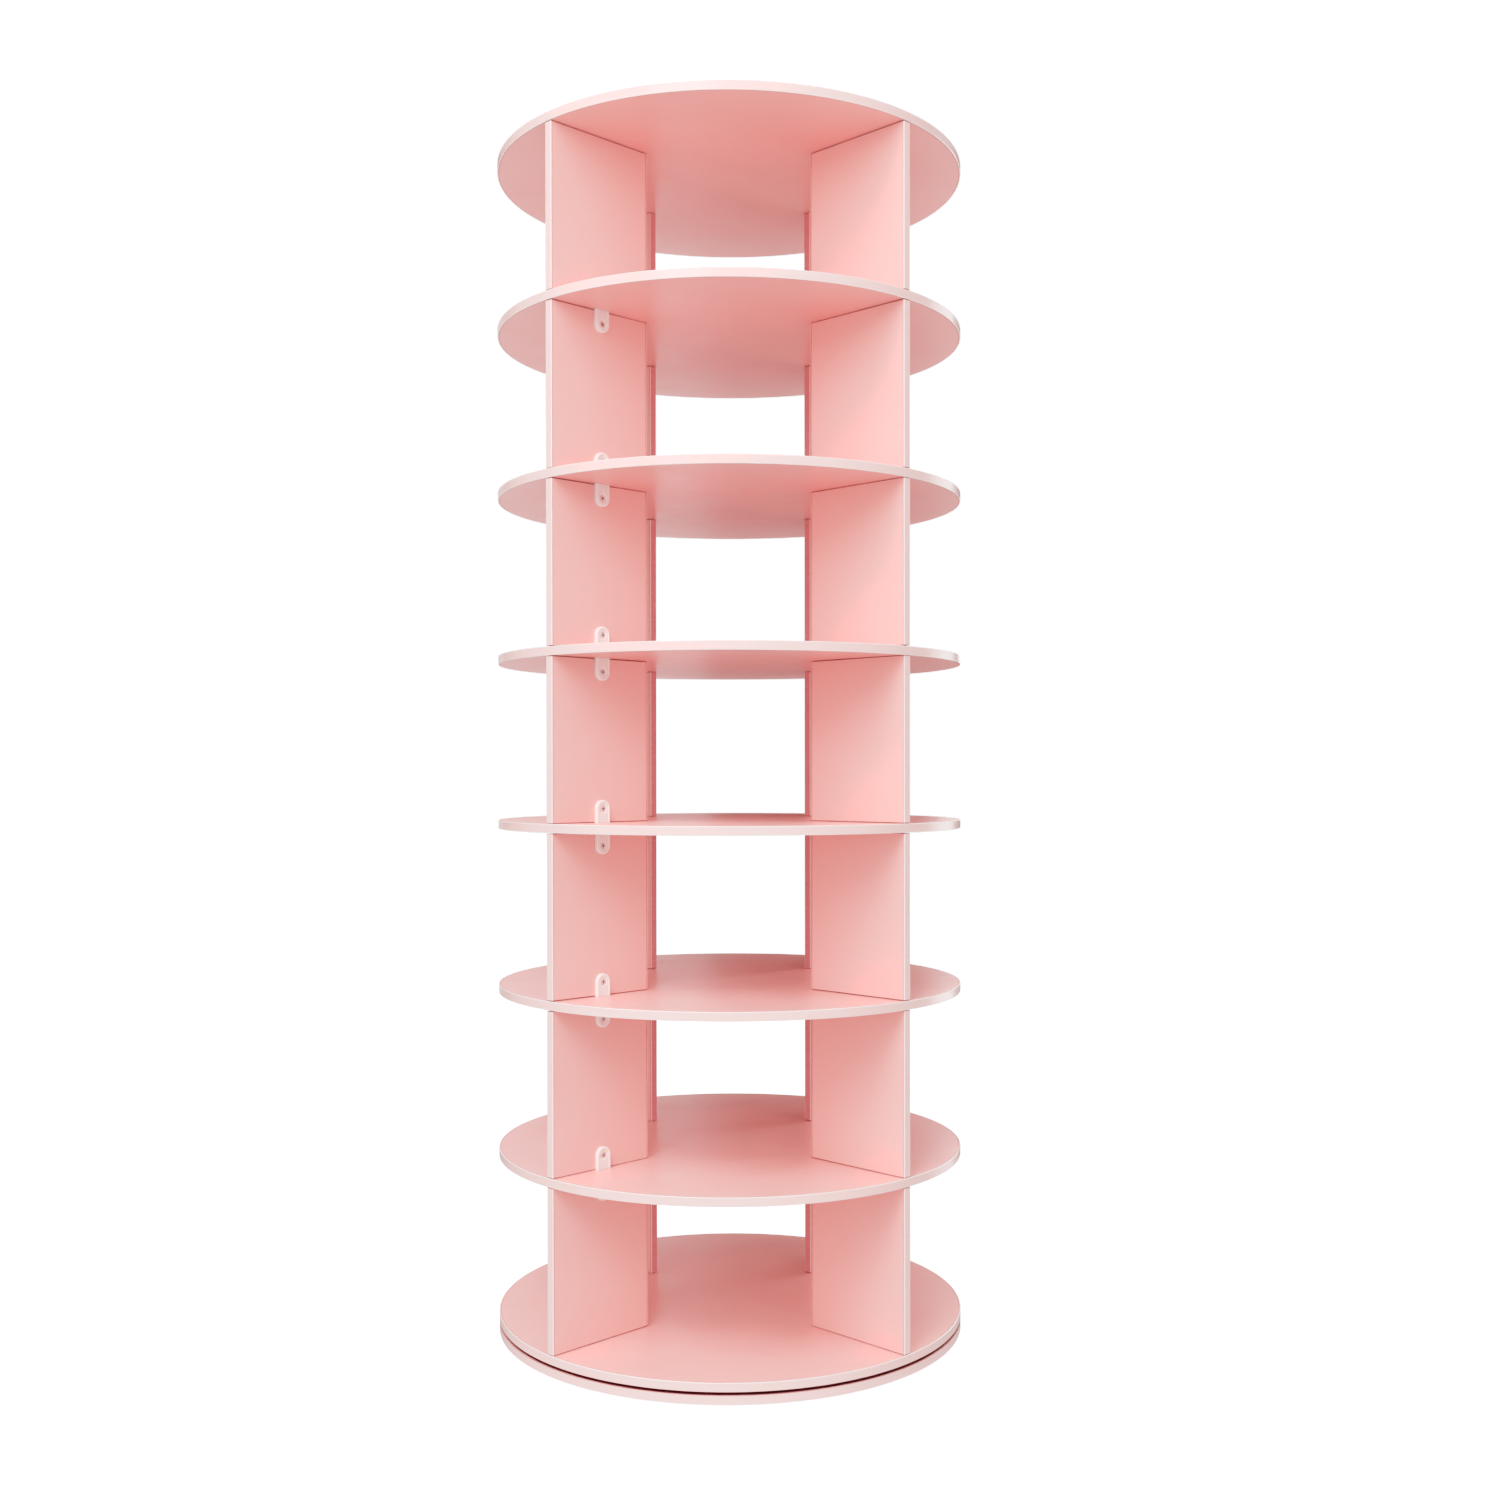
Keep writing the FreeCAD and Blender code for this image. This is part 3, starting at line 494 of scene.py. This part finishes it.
BOX_FACES = [(0, 1, 2, 3), (4, 5, 6, 7), (0, 1, 5, 4), (1, 2, 6, 5), (2, 3, 7, 6), (3, 0, 4, 7)]


def block(low, high):
    """The eight corners of a box between two opposite corners, in the order of BOX_FACES."""
    (x0, y0, z0), (x1, y1, z1) = low, high
    ring = [(x0, y0), (x1, y0), (x1, y1), (x0, y1)]
    return [(x, y, z0) for x, y in ring] + [(x, y, z1) for x, y in ring]


CUT_PAST = 0.002  # how far a cutter passes the surface that it cuts
HOLE_STEPS = 40
PANEL_ANGLES = {"rear_right": 45, "rear_left": 135, "front_left": 225, "front_right": 315}
PANEL_OUTER = 0.2495
PANEL_DEPTH = 0.125
PANEL_THICKNESS = 0.009
PANEL_MIDDLE = PANEL_OUTER - PANEL_DEPTH / 2
PLATE_WIDTH = 0.017
PLATE_THICKNESS = 0.0044
SLOT_CLEARANCE = 0.0003


def slot_cutter(low, high):
    """Four blocks, one beside each panel, that cut the slots for the joining plates."""
    half = PLATE_WIDTH / 2 + SLOT_CLEARANCE
    near = PANEL_THICKNESS / 2 - SLOT_CLEARANCE
    far = PANEL_THICKNESS / 2 + PLATE_THICKNESS + SLOT_CLEARANCE
    corners = block(
        (PANEL_MIDDLE - half, near, low - CUT_PAST), (PANEL_MIDDLE + half, far, high + CUT_PAST)
    )
    return joined([(turned(corners, angle), BOX_FACES) for angle in PANEL_ANGLES.values()])


def spun_at(places, profile):
    """The same spun shape at each (x, y) place, from a profile of (radius, height) pairs."""
    shape, faces = spun(profile, HOLE_STEPS), grid_faces(len(profile), HOLE_STEPS)
    return joined([(shape + np.array([x, y, 0]), faces) for x, y in places])


PANEL_SCREW_SPACING = 0.064
PANEL_SCREW_HOLE = 0.0021
PANEL_SCREW_HEAD = 0.0041
PANEL_SCREW_HEAD_DEPTH = 0.0024
CAP_SEAT_RADIUS = 0.0061
CAP_THICKNESS = 0.0014
RACE_POCKET_RADIUS = 0.1183
RACE_SCREW_CIRCLE = 0.109
ACCESS_HOLE_RADIUS = 0.0055


def panel_screw_places():
    """(x, y) of the two screws in the edge of each panel."""
    return [
        (r * math.cos(math.radians(angle)), r * math.sin(math.radians(angle)))
        for angle in PANEL_ANGLES.values()
        for r in (PANEL_MIDDLE - PANEL_SCREW_SPACING / 2, PANEL_MIDDLE + PANEL_SCREW_SPACING / 2)
    ]


def make_board(node, body, pocket=None, cutter=None):
    """A round board in the place of its node, with its pocket spun in and its holes cut out."""
    low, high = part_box(node)
    profile, finishes = board_profile(low.z, high.z, pocket)
    faces = grid_faces(len(profile), BOARD_SPIN_STEPS)
    finish_of_face = np.repeat(finishes, BOARD_SPIN_STEPS)
    mesh = solid_mesh(f"{node}_mesh", spun(profile, BOARD_SPIN_STEPS), faces, finish_of_face)
    if cutter:
        mesh = cut_out(mesh, *cutter(low.z, high.z))
    new_piece(f"{node}_finished", mesh, board_finishes, body, node)


def top_board_cutter(low, high):
    """Screw holes through the top board, countersunk under a flat seat for each cover cap."""
    seat = high - CAP_THICKNESS
    return spun_at(panel_screw_places(), [
        (0, low - CUT_PAST), (PANEL_SCREW_HOLE, low - CUT_PAST),
        (PANEL_SCREW_HOLE, seat - PANEL_SCREW_HEAD_DEPTH), (PANEL_SCREW_HEAD, seat),
        (CAP_SEAT_RADIUS, seat), (CAP_SEAT_RADIUS, high + CUT_PAST), (0, high + CUT_PAST),
    ])


def turntable_board_cutter(low, high):
    """Screw holes through the turntable board, countersunk from below."""
    return spun_at(panel_screw_places(), [
        (0, low - CUT_PAST), (PANEL_SCREW_HEAD, low - CUT_PAST), (PANEL_SCREW_HEAD, low),
        (PANEL_SCREW_HOLE, low + PANEL_SCREW_HEAD_DEPTH), (PANEL_SCREW_HOLE, high + CUT_PAST),
        (0, high + CUT_PAST),
    ])


def base_board_cutter(low, high):
    """The screwdriver hole through the base board, under the ring of race screws."""
    return spun_at([(RACE_SCREW_CIRCLE, 0)], [
        (0, low - CUT_PAST), (ACCESS_HOLE_RADIUS, low - CUT_PAST), (ACCESS_HOLE_RADIUS, high), (0, high),
    ])


race_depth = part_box("upper_race")[1].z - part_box("turntable_board")[0].z
make_board("top_board", "tower", cutter=top_board_cutter)
for shelf in range(1, 7):
    make_board(f"shelf_{shelf}", "tower", cutter=slot_cutter)
make_board("turntable_board", "tower", (RACE_POCKET_RADIUS, race_depth, -1), turntable_board_cutter)
make_board("base_board", "base", (RACE_POCKET_RADIUS, race_depth, 1), base_board_cutter)

# --- Upright panels ---
# 28 oblong boards of the same faced chipboard, on edge along the tower's radius, four to a tier.
# Their two upright ends carry the plastic band, the inner end a deeper rose than the outer; their top and
# bottom edges stand against the boards, sawn, and darkened as painted shade in the joints.

PANEL_EASE = 0.0006
HAIRLINE = 0.00012
LEAN_LIMIT = 0.0006
LEAN_SEED = 7

panel_lean = np.random.default_rng(LEAN_SEED)


def panel_section():
    """Plan outline of a panel: base points, outward directions, and the finish of the strip after each.

    A point of the outline is its base plus its direction times the edge rounding. Going round, each corner
    is a quarter circle, and each face has two shallow V seams, one at each band.
    """
    base, direction, finish = [], [], []
    inner, outer = PANEL_OUTER - PANEL_DEPTH, PANEL_OUTER
    half = PANEL_THICKNESS / 2
    v_groove = ((0, 0), (SEAM_WIDTH / 2, SEAM_DEPTH), (SEAM_WIDTH, 0))
    for side, start, end, end_finish in ((-1, inner, outer, BAND), (1, outer, inner, DEEPER_INNER_END)):
        inward = np.sign(end - start)
        from_start = [(start + inward * (BAND_THICKNESS + a), half - d) for a, d in v_groove]
        to_end = [(end - inward * (BAND_THICKNESS + a), half - d) for a, d in v_groove[::-1]]
        seams = from_start + to_end
        base += [(along, side * (across - PANEL_EASE)) for along, across in seams]
        direction += [(0, side)] * len(seams)
        finish += [GLUE_AND_GAP_SHADE, GLUE_AND_GAP_SHADE, LAMINATE, GLUE_AND_GAP_SHADE, GLUE_AND_GAP_SHADE, end_finish]
        for corner_side, turn in ((side, np.linspace(0, np.pi / 2, ROUND_STEPS)),
                                  (-side, np.linspace(np.pi / 2, 0, ROUND_STEPS))):
            base += [(end - inward * PANEL_EASE, corner_side * (half - PANEL_EASE))] * ROUND_STEPS
            direction += [(inward * math.sin(a), corner_side * math.cos(a)) for a in turn]
            # The rounded corners take the eased-edge finish: scraped plastic and painted highlight.
            finish += [ARRIS_AND_HIGHLIGHT] * (ROUND_STEPS - 1) + [end_finish]
    return np.array(base), np.array(direction), np.array(finish)


def make_panel(node, angle):
    """A panel: its section carried up its height, drawn in by quarter circles at the bottom and the top.

    Its bottom and top edges stand off the boards by a hairline that widens along the panel by a different
    amount for each one, as boards cut on a saw and screwed up by hand do.
    """
    low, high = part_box(node)
    base, direction, finish = panel_section()
    ease = np.linspace(0, np.pi / 2, ROUND_STEPS)
    reach = PANEL_EASE * np.concatenate([np.sin(ease), np.sin(ease)[::-1]])
    lift = PANEL_EASE * (1 - np.cos(ease))
    share = (base[:, 0] - (PANEL_OUTER - PANEL_DEPTH)) / PANEL_DEPTH
    under, over = panel_lean.uniform(0, LEAN_LIMIT, (2, 2))
    foot = low.z + HAIRLINE + under[0] * (1 - share) + under[1] * share
    head = high.z - HAIRLINE - over[0] * (1 - share) - over[1] * share
    height = np.concatenate([foot[None] + lift[:, None], head[None] - lift[::-1, None]])
    plan = base[None] + direction[None] * reach[:, None, None]
    points = np.concatenate([plan, height[..., None]], axis=-1)
    rows, columns = height.shape
    faces = grid_faces(rows, columns).tolist()
    faces += [list(range(columns)), [(rows - 1) * columns + i for i in range(columns)]]
    # The eases at the bottom and the top take the sawn edge finish, darkened as painted shade in the
    # joints.
    shaded_sawn_eases = np.full(columns * (ROUND_STEPS - 1), SAWN_AND_SHADED_EDGE)
    finishes = [*shaded_sawn_eases, *finish, *shaded_sawn_eases, SAWN_AND_SHADED_EDGE, SAWN_AND_SHADED_EDGE]
    mesh = solid_mesh(f"{node}_mesh", turned(points, angle), faces, finishes)
    new_piece(f"{node}_finished", mesh, board_finishes, "tower", node)


for tier in range(1, 8):
    for quarter, angle in PANEL_ANGLES.items():
        make_panel(f"panel_tier_{tier}_{quarter}", angle)

# --- Joining plates ---
# Flat moulded plates of pale plastic with two round ends, one beside each panel at every shelf.
# Each passes through a slot in the shelf and has a dished seat for a screw at either end.

PLATE_LENGTH = 0.0545
PLATE_EDGE_ROUND = 0.0010
PLATE_BORDER = 0.0009
PLATE_FACE_DEPTH = 0.0006
PLATE_FACE = PLATE_THICKNESS - PLATE_FACE_DEPTH
PLATE_BACK_CHAMFER = 0.0005
PLATE_FACE_SLOPE = 0.0003
SCREW_RISE = (PLATE_LENGTH - PLATE_WIDTH) / 2
PLATE_SCREW_HOLE = 0.0017
PLATE_SCREW_SEAT = 0.0037
PLATE_SCREW_HEAD_DEPTH = 0.0016
DISH_RADIUS = 0.0050
DISH_DEPTH = 0.00030
END_STEPS = 24
FLAT_TOLERANCE = 1e-5


def make_plate_plastic(name, light, dark, grain):
    """Moulded plastic: pale pinkish white with a fine grain of so many metres."""
    material, tree, shader, place = material_with_shader(name)
    colour = blend_colours(tree, noise(tree, place, 30, 3), dark, light)
    tree.links.new(colour, shader.inputs["Base Color"])
    tree.links.new(between(tree, noise(tree, place, 220, 2), 0.34, 0.44), shader.inputs["Roughness"])
    roughen(tree, shader, noise(tree, place, 1600, 2), grain)
    shader.inputs["Subsurface Weight"].default_value = 0.08
    shader.inputs["Subsurface Radius"].default_value = (0.002, 0.001, 0.001)
    return material


plate_finishes = (
    make_plate_plastic("plate_plastic", (0.975, 0.860, 0.825), (0.960, 0.825, 0.790), 0.000004),
    # The sunk front: darker than the border as painted shade in the recess, and with a coarser grain.
    make_plate_plastic("plate_sunk_face_grain_and_shade", (0.945, 0.795, 0.765), (0.925, 0.765, 0.735), 0.000012),
)


def plate_template():
    """A plate with its back on the plane y = 0, standing along Z about the origin.

    The outline is two half circles joined by straight sides. The edge's profile is carried along it: a
    small chamfer at the back, straight up the thickness, a quarter circle inwards, a narrow flat border,
    and a short slope down to the sunk front.
    """
    half_turn = np.linspace(0, np.pi, END_STEPS)
    outward = np.concatenate([
        np.stack([np.cos(half_turn), np.sin(half_turn)], axis=-1),
        np.stack([-np.cos(half_turn), -np.sin(half_turn)], axis=-1),
    ])
    rise = np.repeat([SCREW_RISE, -SCREW_RISE], END_STEPS)
    ease = np.linspace(0, np.pi / 2, ROUND_STEPS + 1)
    border = PLATE_EDGE_ROUND + PLATE_BORDER
    inset = np.concatenate([
        [PLATE_BACK_CHAMFER, 0.0], PLATE_EDGE_ROUND * (1 - np.cos(ease)),
        [border, border + PLATE_FACE_SLOPE],
    ])
    depth = np.concatenate([
        [0.0, PLATE_BACK_CHAMFER], PLATE_THICKNESS - PLATE_EDGE_ROUND * (1 - np.sin(ease)),
        [PLATE_THICKNESS, PLATE_FACE],
    ])
    radius = (PLATE_WIDTH / 2 - inset)[:, None]
    points = np.stack([
        radius * outward[:, 0],
        np.repeat(depth[:, None], len(outward), axis=1),
        rise + radius * outward[:, 1],
    ], axis=-1)
    columns = len(outward)
    faces = grid_faces(len(inset), columns).tolist()
    faces += [list(range(columns)), [(len(inset) - 1) * columns + i for i in range(columns)]]
    dish_floor = PLATE_FACE - DISH_DEPTH
    past_front = PLATE_FACE + CUT_PAST
    seat = [
        (0, -CUT_PAST), (PLATE_SCREW_HOLE, -CUT_PAST),
        (PLATE_SCREW_HOLE, dish_floor - PLATE_SCREW_HEAD_DEPTH),
        (PLATE_SCREW_SEAT, dish_floor), (PLATE_SCREW_SEAT, past_front), (0, past_front),
    ]
    dish = [
        (0, dish_floor), (DISH_RADIUS - DISH_DEPTH, dish_floor),
        (DISH_RADIUS, PLATE_FACE), (DISH_RADIUS, past_front), (0, past_front),
    ]
    mesh = solid_mesh("plate_blank", points, faces)
    for profile in (dish, seat):
        cutters = []
        for height in (SCREW_RISE, -SCREW_RISE):
            shape = spun(profile, HOLE_STEPS)[..., [0, 2, 1]]
            cutters.append((shape + np.array([0, 0, height]), grid_faces(len(profile), HOLE_STEPS)))
        mesh = cut_out(mesh, *joined(cutters))
    return mesh


def mesh_arrays(mesh):
    """A mesh's points, and its faces as lists of corner numbers."""
    points = np.zeros(len(mesh.vertices) * 3, np.float32)
    mesh.vertices.foreach_get("co", points)
    return points.reshape(-1, 3).astype(float), [list(face.vertices) for face in mesh.polygons]


plate_points, plate_faces = mesh_arrays(plate_template())
# Faces of the sunk front, which get the darker painted-shade finish.
on_sunk_face = np.array([
    np.abs(plate_points[face, 1] - PLATE_FACE).max() < FLAT_TOLERANCE for face in plate_faces
])


def on_panel_face(points, angle, height, stand_off=0.0):
    """Points of a template on the plane y = 0, moved on to the face of the panel at an angle."""
    return turned(points + np.array([PANEL_MIDDLE, PANEL_THICKNESS / 2 + stand_off, height]), angle)


for shelf in range(1, 7):
    low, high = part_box(f"shelf_{shelf}")
    placed = [
        (on_panel_face(plate_points, angle, (low.z + high.z) / 2), plate_faces)
        for angle in PANEL_ANGLES.values()
    ]
    finish_of_face = np.tile(on_sunk_face.astype(int), len(placed))
    mesh = solid_mesh(f"joining_plates_shelf_{shelf}_mesh", *joined(placed), finish_of_face)
    new_piece(
        f"joining_plates_shelf_{shelf}_finished", mesh, plate_finishes, "tower",
        f"joining_plates_shelf_{shelf}",
    )

# --- Joining plate screws ---
# 48 small countersunk wood screws of zinc-plated steel, with a tapered cross recess in the head.
# Two go through each joining plate into the panels above and below the shelf.

PLATE_SCREW_SHANK = 0.0016
PLATE_SCREW_HEAD = 0.0032
PLATE_SCREW_BITE = 0.0064
RECESS_REACH = 0.0018
RECESS_WIDTH = 0.0011
RECESS_DEPTH = 0.0012
RECESS_TAPER = 0.45
RECESS_CUT_PAST = 0.001
# A face of the screw is a recess wall, painted dark as shade, where its middle lies inside these three
# bounds.
RECESS_FACE_RADIUS = 0.00155
RECESS_FACE_TOP = -0.00002
RECESS_FACE_BOTTOM = -1.1 * RECESS_DEPTH
HEAD_EASE = 0.0001
HEAD_RIM_DEPTH = 0.00012
SCREW_STEPS = 28


def make_zinc_plate():
    """Zinc-plated steel: blotched grey with fine turning lines."""
    material, tree, shader, place = material_with_shader("zinc_plate")
    colour = blend_colours(tree, noise(tree, place, 350, 3), (0.70, 0.69, 0.68), (0.86, 0.85, 0.84))
    tree.links.new(colour, shader.inputs["Base Color"])
    tree.links.new(between(tree, noise(tree, place, 500, 2), 0.28, 0.46), shader.inputs["Roughness"])
    roughen(tree, shader, noise(tree, place, 900, 2), 0.00002)
    shader.inputs["Metallic"].default_value = 1.0
    return material


def make_recess_shade():
    """Painted shade on the walls of a driver recess: dark and dull."""
    material, tree, shader, place = material_with_shader("recess_shade")
    recess_mottle = noise(tree, place, 900, 2)
    colour = blend_colours(tree, recess_mottle, (0.030, 0.022, 0.022), (0.060, 0.045, 0.045))
    tree.links.new(colour, shader.inputs["Base Color"])
    tree.links.new(between(tree, recess_mottle, 0.55, 0.75), shader.inputs["Roughness"])
    return material


zinc_plate = make_zinc_plate()
recess_shade = make_recess_shade()


def cross_recess():
    """Two crossed wedges about the Z axis, as (points, faces), that narrow downwards."""
    wedge = np.array(block(
        (-RECESS_REACH, -RECESS_WIDTH / 2, -RECESS_DEPTH), (RECESS_REACH, RECESS_WIDTH / 2, RECESS_CUT_PAST)
    ), float)
    wedge[:4, :2] *= RECESS_TAPER
    return [(turned(wedge, turn), BOX_FACES) for turn in (0, 90)]


def screw_template(shank, head, head_depth, length):
    """A countersunk screw along Z, its head's top at height 0: a spun outline less the cross recess."""
    profile = [
        (0, -length), (shank, 2 * shank - length), (shank, -head_depth),
        (head - HEAD_EASE, -HEAD_RIM_DEPTH), (head - 2 * HEAD_EASE, 0), (0, 0),
    ]
    mesh = solid_mesh("screw_blank", spun(profile, SCREW_STEPS), grid_faces(len(profile), SCREW_STEPS))
    for wedge in cross_recess():
        mesh = cut_out(mesh, *wedge)
    return mesh_arrays(mesh)


screw_points, screw_faces = screw_template(
    PLATE_SCREW_SHANK, PLATE_SCREW_HEAD, PLATE_SCREW_HEAD_DEPTH, PLATE_THICKNESS + PLATE_SCREW_BITE
)
facing_out = screw_points[:, [0, 2, 1]]
placed = []
for shelf in range(1, 7):
    low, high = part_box(f"shelf_{shelf}")
    for rise in (SCREW_RISE, -SCREW_RISE):
        for angle in PANEL_ANGLES.values():
            height = (low.z + high.z) / 2 + rise
            placed.append((on_panel_face(facing_out, angle, height, PLATE_FACE - DISH_DEPTH), screw_faces))
middle = np.array([screw_points[face].mean(axis=0) for face in screw_faces])
# The recess walls take the painted shade.
in_recess = (
    (np.hypot(middle[:, 0], middle[:, 1]) < RECESS_FACE_RADIUS)
    & (middle[:, 2] < RECESS_FACE_TOP) & (middle[:, 2] > RECESS_FACE_BOTTOM)
)
new_piece(
    "plate_screws_finished",
    solid_mesh("plate_screws_mesh", *joined(placed), np.tile(in_recess.astype(int), len(placed))),
    (zinc_plate, recess_shade), "tower", "plate_screws",
)

# --- Screws and cover caps in the top and turntable boards ---
# Eight long screws hold each of these boards to its panels' edges. The top ones lie under flush pink caps,
# pressed into round seats, and the lower ones come up from the underside of the turntable board.

CAP_RADIUS = 0.0060
CAP_EASE = 0.0003


def make_cap_plastic():
    """Moulded cap: the board's pink, a little duller, with a fine matt grain."""
    material, tree, shader, place = material_with_shader("cap_plastic")
    clouds = noise(tree, place, 120, 3)
    colour = blend_colours(tree, clouds, (0.800, 0.440, 0.425), (0.840, 0.475, 0.460))
    tree.links.new(colour, shader.inputs["Base Color"])
    tree.links.new(between(tree, noise(tree, place, 400, 2), 0.42, 0.52), shader.inputs["Roughness"])
    roughen(tree, shader, noise(tree, place, 1500, 2), 0.000006)
    return material


cap_low, cap_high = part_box("screw_caps")
cap_profile = [
    (0, cap_low.z), (CAP_RADIUS, cap_low.z), (CAP_RADIUS, cap_high.z - CAP_EASE),
    (CAP_RADIUS - CAP_EASE, cap_high.z), (0, cap_high.z),
]
caps = spun_at(panel_screw_places(), cap_profile)
new_piece(
    "screw_caps_finished", solid_mesh("screw_caps_mesh", *caps), (make_cap_plastic(),), "tower",
    "screw_caps",
)


def finish_node(node, material):
    """Give a node that keeps its own shape a finish."""
    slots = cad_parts[node].data.materials
    slots.clear()
    slots.append(material)


for node in ("top_screws", "turntable_screws"):
    finish_node(node, zinc_plate)

# --- Ball bearing ---
# Two pressed races of zinc-plated sheet, screwed to the base board and the turntable board. Between them 24
# polished balls run in a nylon cage, and the upper race's hub hooks under the lower one.


def make_race_steel():
    """Pressed sheet steel, zinc plated, with rings left by the press tool."""
    material, tree, shader, place = material_with_shader("race_steel")
    blotches = noise(tree, place, 45, 4)
    colour = blend_colours(tree, blotches, (0.55, 0.55, 0.54), (0.69, 0.69, 0.68))
    tree.links.new(colour, shader.inputs["Base Color"])
    tree.links.new(between(tree, noise(tree, place, 160, 3), 0.30, 0.48), shader.inputs["Roughness"])
    rings = tree.nodes.new("ShaderNodeTexWave")
    rings.wave_type = "RINGS"
    rings.rings_direction = "Z"
    rings.inputs["Scale"].default_value = 260
    rings.inputs["Distortion"].default_value = 0.6
    tree.links.new(place, rings.inputs["Vector"])
    roughen(tree, shader, rings.outputs["Fac"], 0.00002)
    shader.inputs["Metallic"].default_value = 1.0
    return material


def make_ball_steel():
    """Polished bearing steel with a faint film of grease."""
    material, tree, shader, place = material_with_shader("ball_steel")
    film = noise(tree, place, 260, 3)
    colour = blend_colours(tree, film, (0.66, 0.66, 0.67), (0.78, 0.78, 0.78))
    tree.links.new(colour, shader.inputs["Base Color"])
    tree.links.new(between(tree, film, 0.06, 0.16), shader.inputs["Roughness"])
    shader.inputs["Metallic"].default_value = 1.0
    return material


def make_cage_nylon():
    """Natural nylon: milky, faintly yellow."""
    material, tree, shader, place = material_with_shader("cage_nylon")
    colour = blend_colours(tree, noise(tree, place, 80, 3), (0.76, 0.74, 0.66), (0.82, 0.80, 0.73))
    tree.links.new(colour, shader.inputs["Base Color"])
    tree.links.new(between(tree, noise(tree, place, 300, 2), 0.38, 0.50), shader.inputs["Roughness"])
    shader.inputs["Subsurface Weight"].default_value = 0.15
    shader.inputs["Subsurface Radius"].default_value = (0.002, 0.002, 0.0015)
    return material


race_steel = make_race_steel()
for node in ("lower_race", "upper_race"):
    finish_node(node, race_steel)
for node in ("lower_race_screws", "upper_race_screws"):
    finish_node(node, zinc_plate)
finish_node("bearing_balls", make_ball_steel())
finish_node("ball_cage", make_cage_nylon())

# --- Rubber feet ---
# Six round moulded feet glued under the base board, each with an eased edge and a shallow dished sole.

FOOT_RADIUS = 0.015
FOOT_CIRCLE = 0.215
FOOT_EASE = 0.0008
SOLE_RADIUS = 0.010
SOLE_DEPTH = 0.0005
FOOT_COUNT = 6
FOOT_STEPS = 48


def make_foot_rubber():
    """Nearly black moulded rubber with a fine grain."""
    material, tree, shader, place = material_with_shader("foot_rubber")
    clouds = noise(tree, place, 150, 4)
    colour = blend_colours(tree, clouds, (0.045, 0.044, 0.044), (0.075, 0.073, 0.072))
    tree.links.new(colour, shader.inputs["Base Color"])
    tree.links.new(between(tree, noise(tree, place, 400, 2), 0.62, 0.80), shader.inputs["Roughness"])
    roughen(tree, shader, noise(tree, place, 1200, 2), 0.00006)
    return material


foot_low, foot_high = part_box("rubber_feet")
ease = np.linspace(0, np.pi / 2, ROUND_STEPS)
foot_profile = np.array([
    (0, SOLE_DEPTH), (SOLE_RADIUS - SOLE_DEPTH, SOLE_DEPTH), (SOLE_RADIUS, 0),
    *[(FOOT_RADIUS - FOOT_EASE * (1 - math.sin(a)), FOOT_EASE * (1 - math.cos(a))) for a in ease],
    (FOOT_RADIUS, foot_high.z - foot_low.z), (0, foot_high.z - foot_low.z),
])
foot_shape = spun(foot_profile, FOOT_STEPS) + np.array([FOOT_CIRCLE, 0, foot_low.z])
feet = joined([
    (turned(foot_shape, 360 / FOOT_COUNT * number), grid_faces(len(foot_profile), FOOT_STEPS))
    for number in range(FOOT_COUNT)
])
new_piece(
    "rubber_feet_finished", solid_mesh("rubber_feet_mesh", *feet), (make_foot_rubber(),), "base",
    "rubber_feet",
)
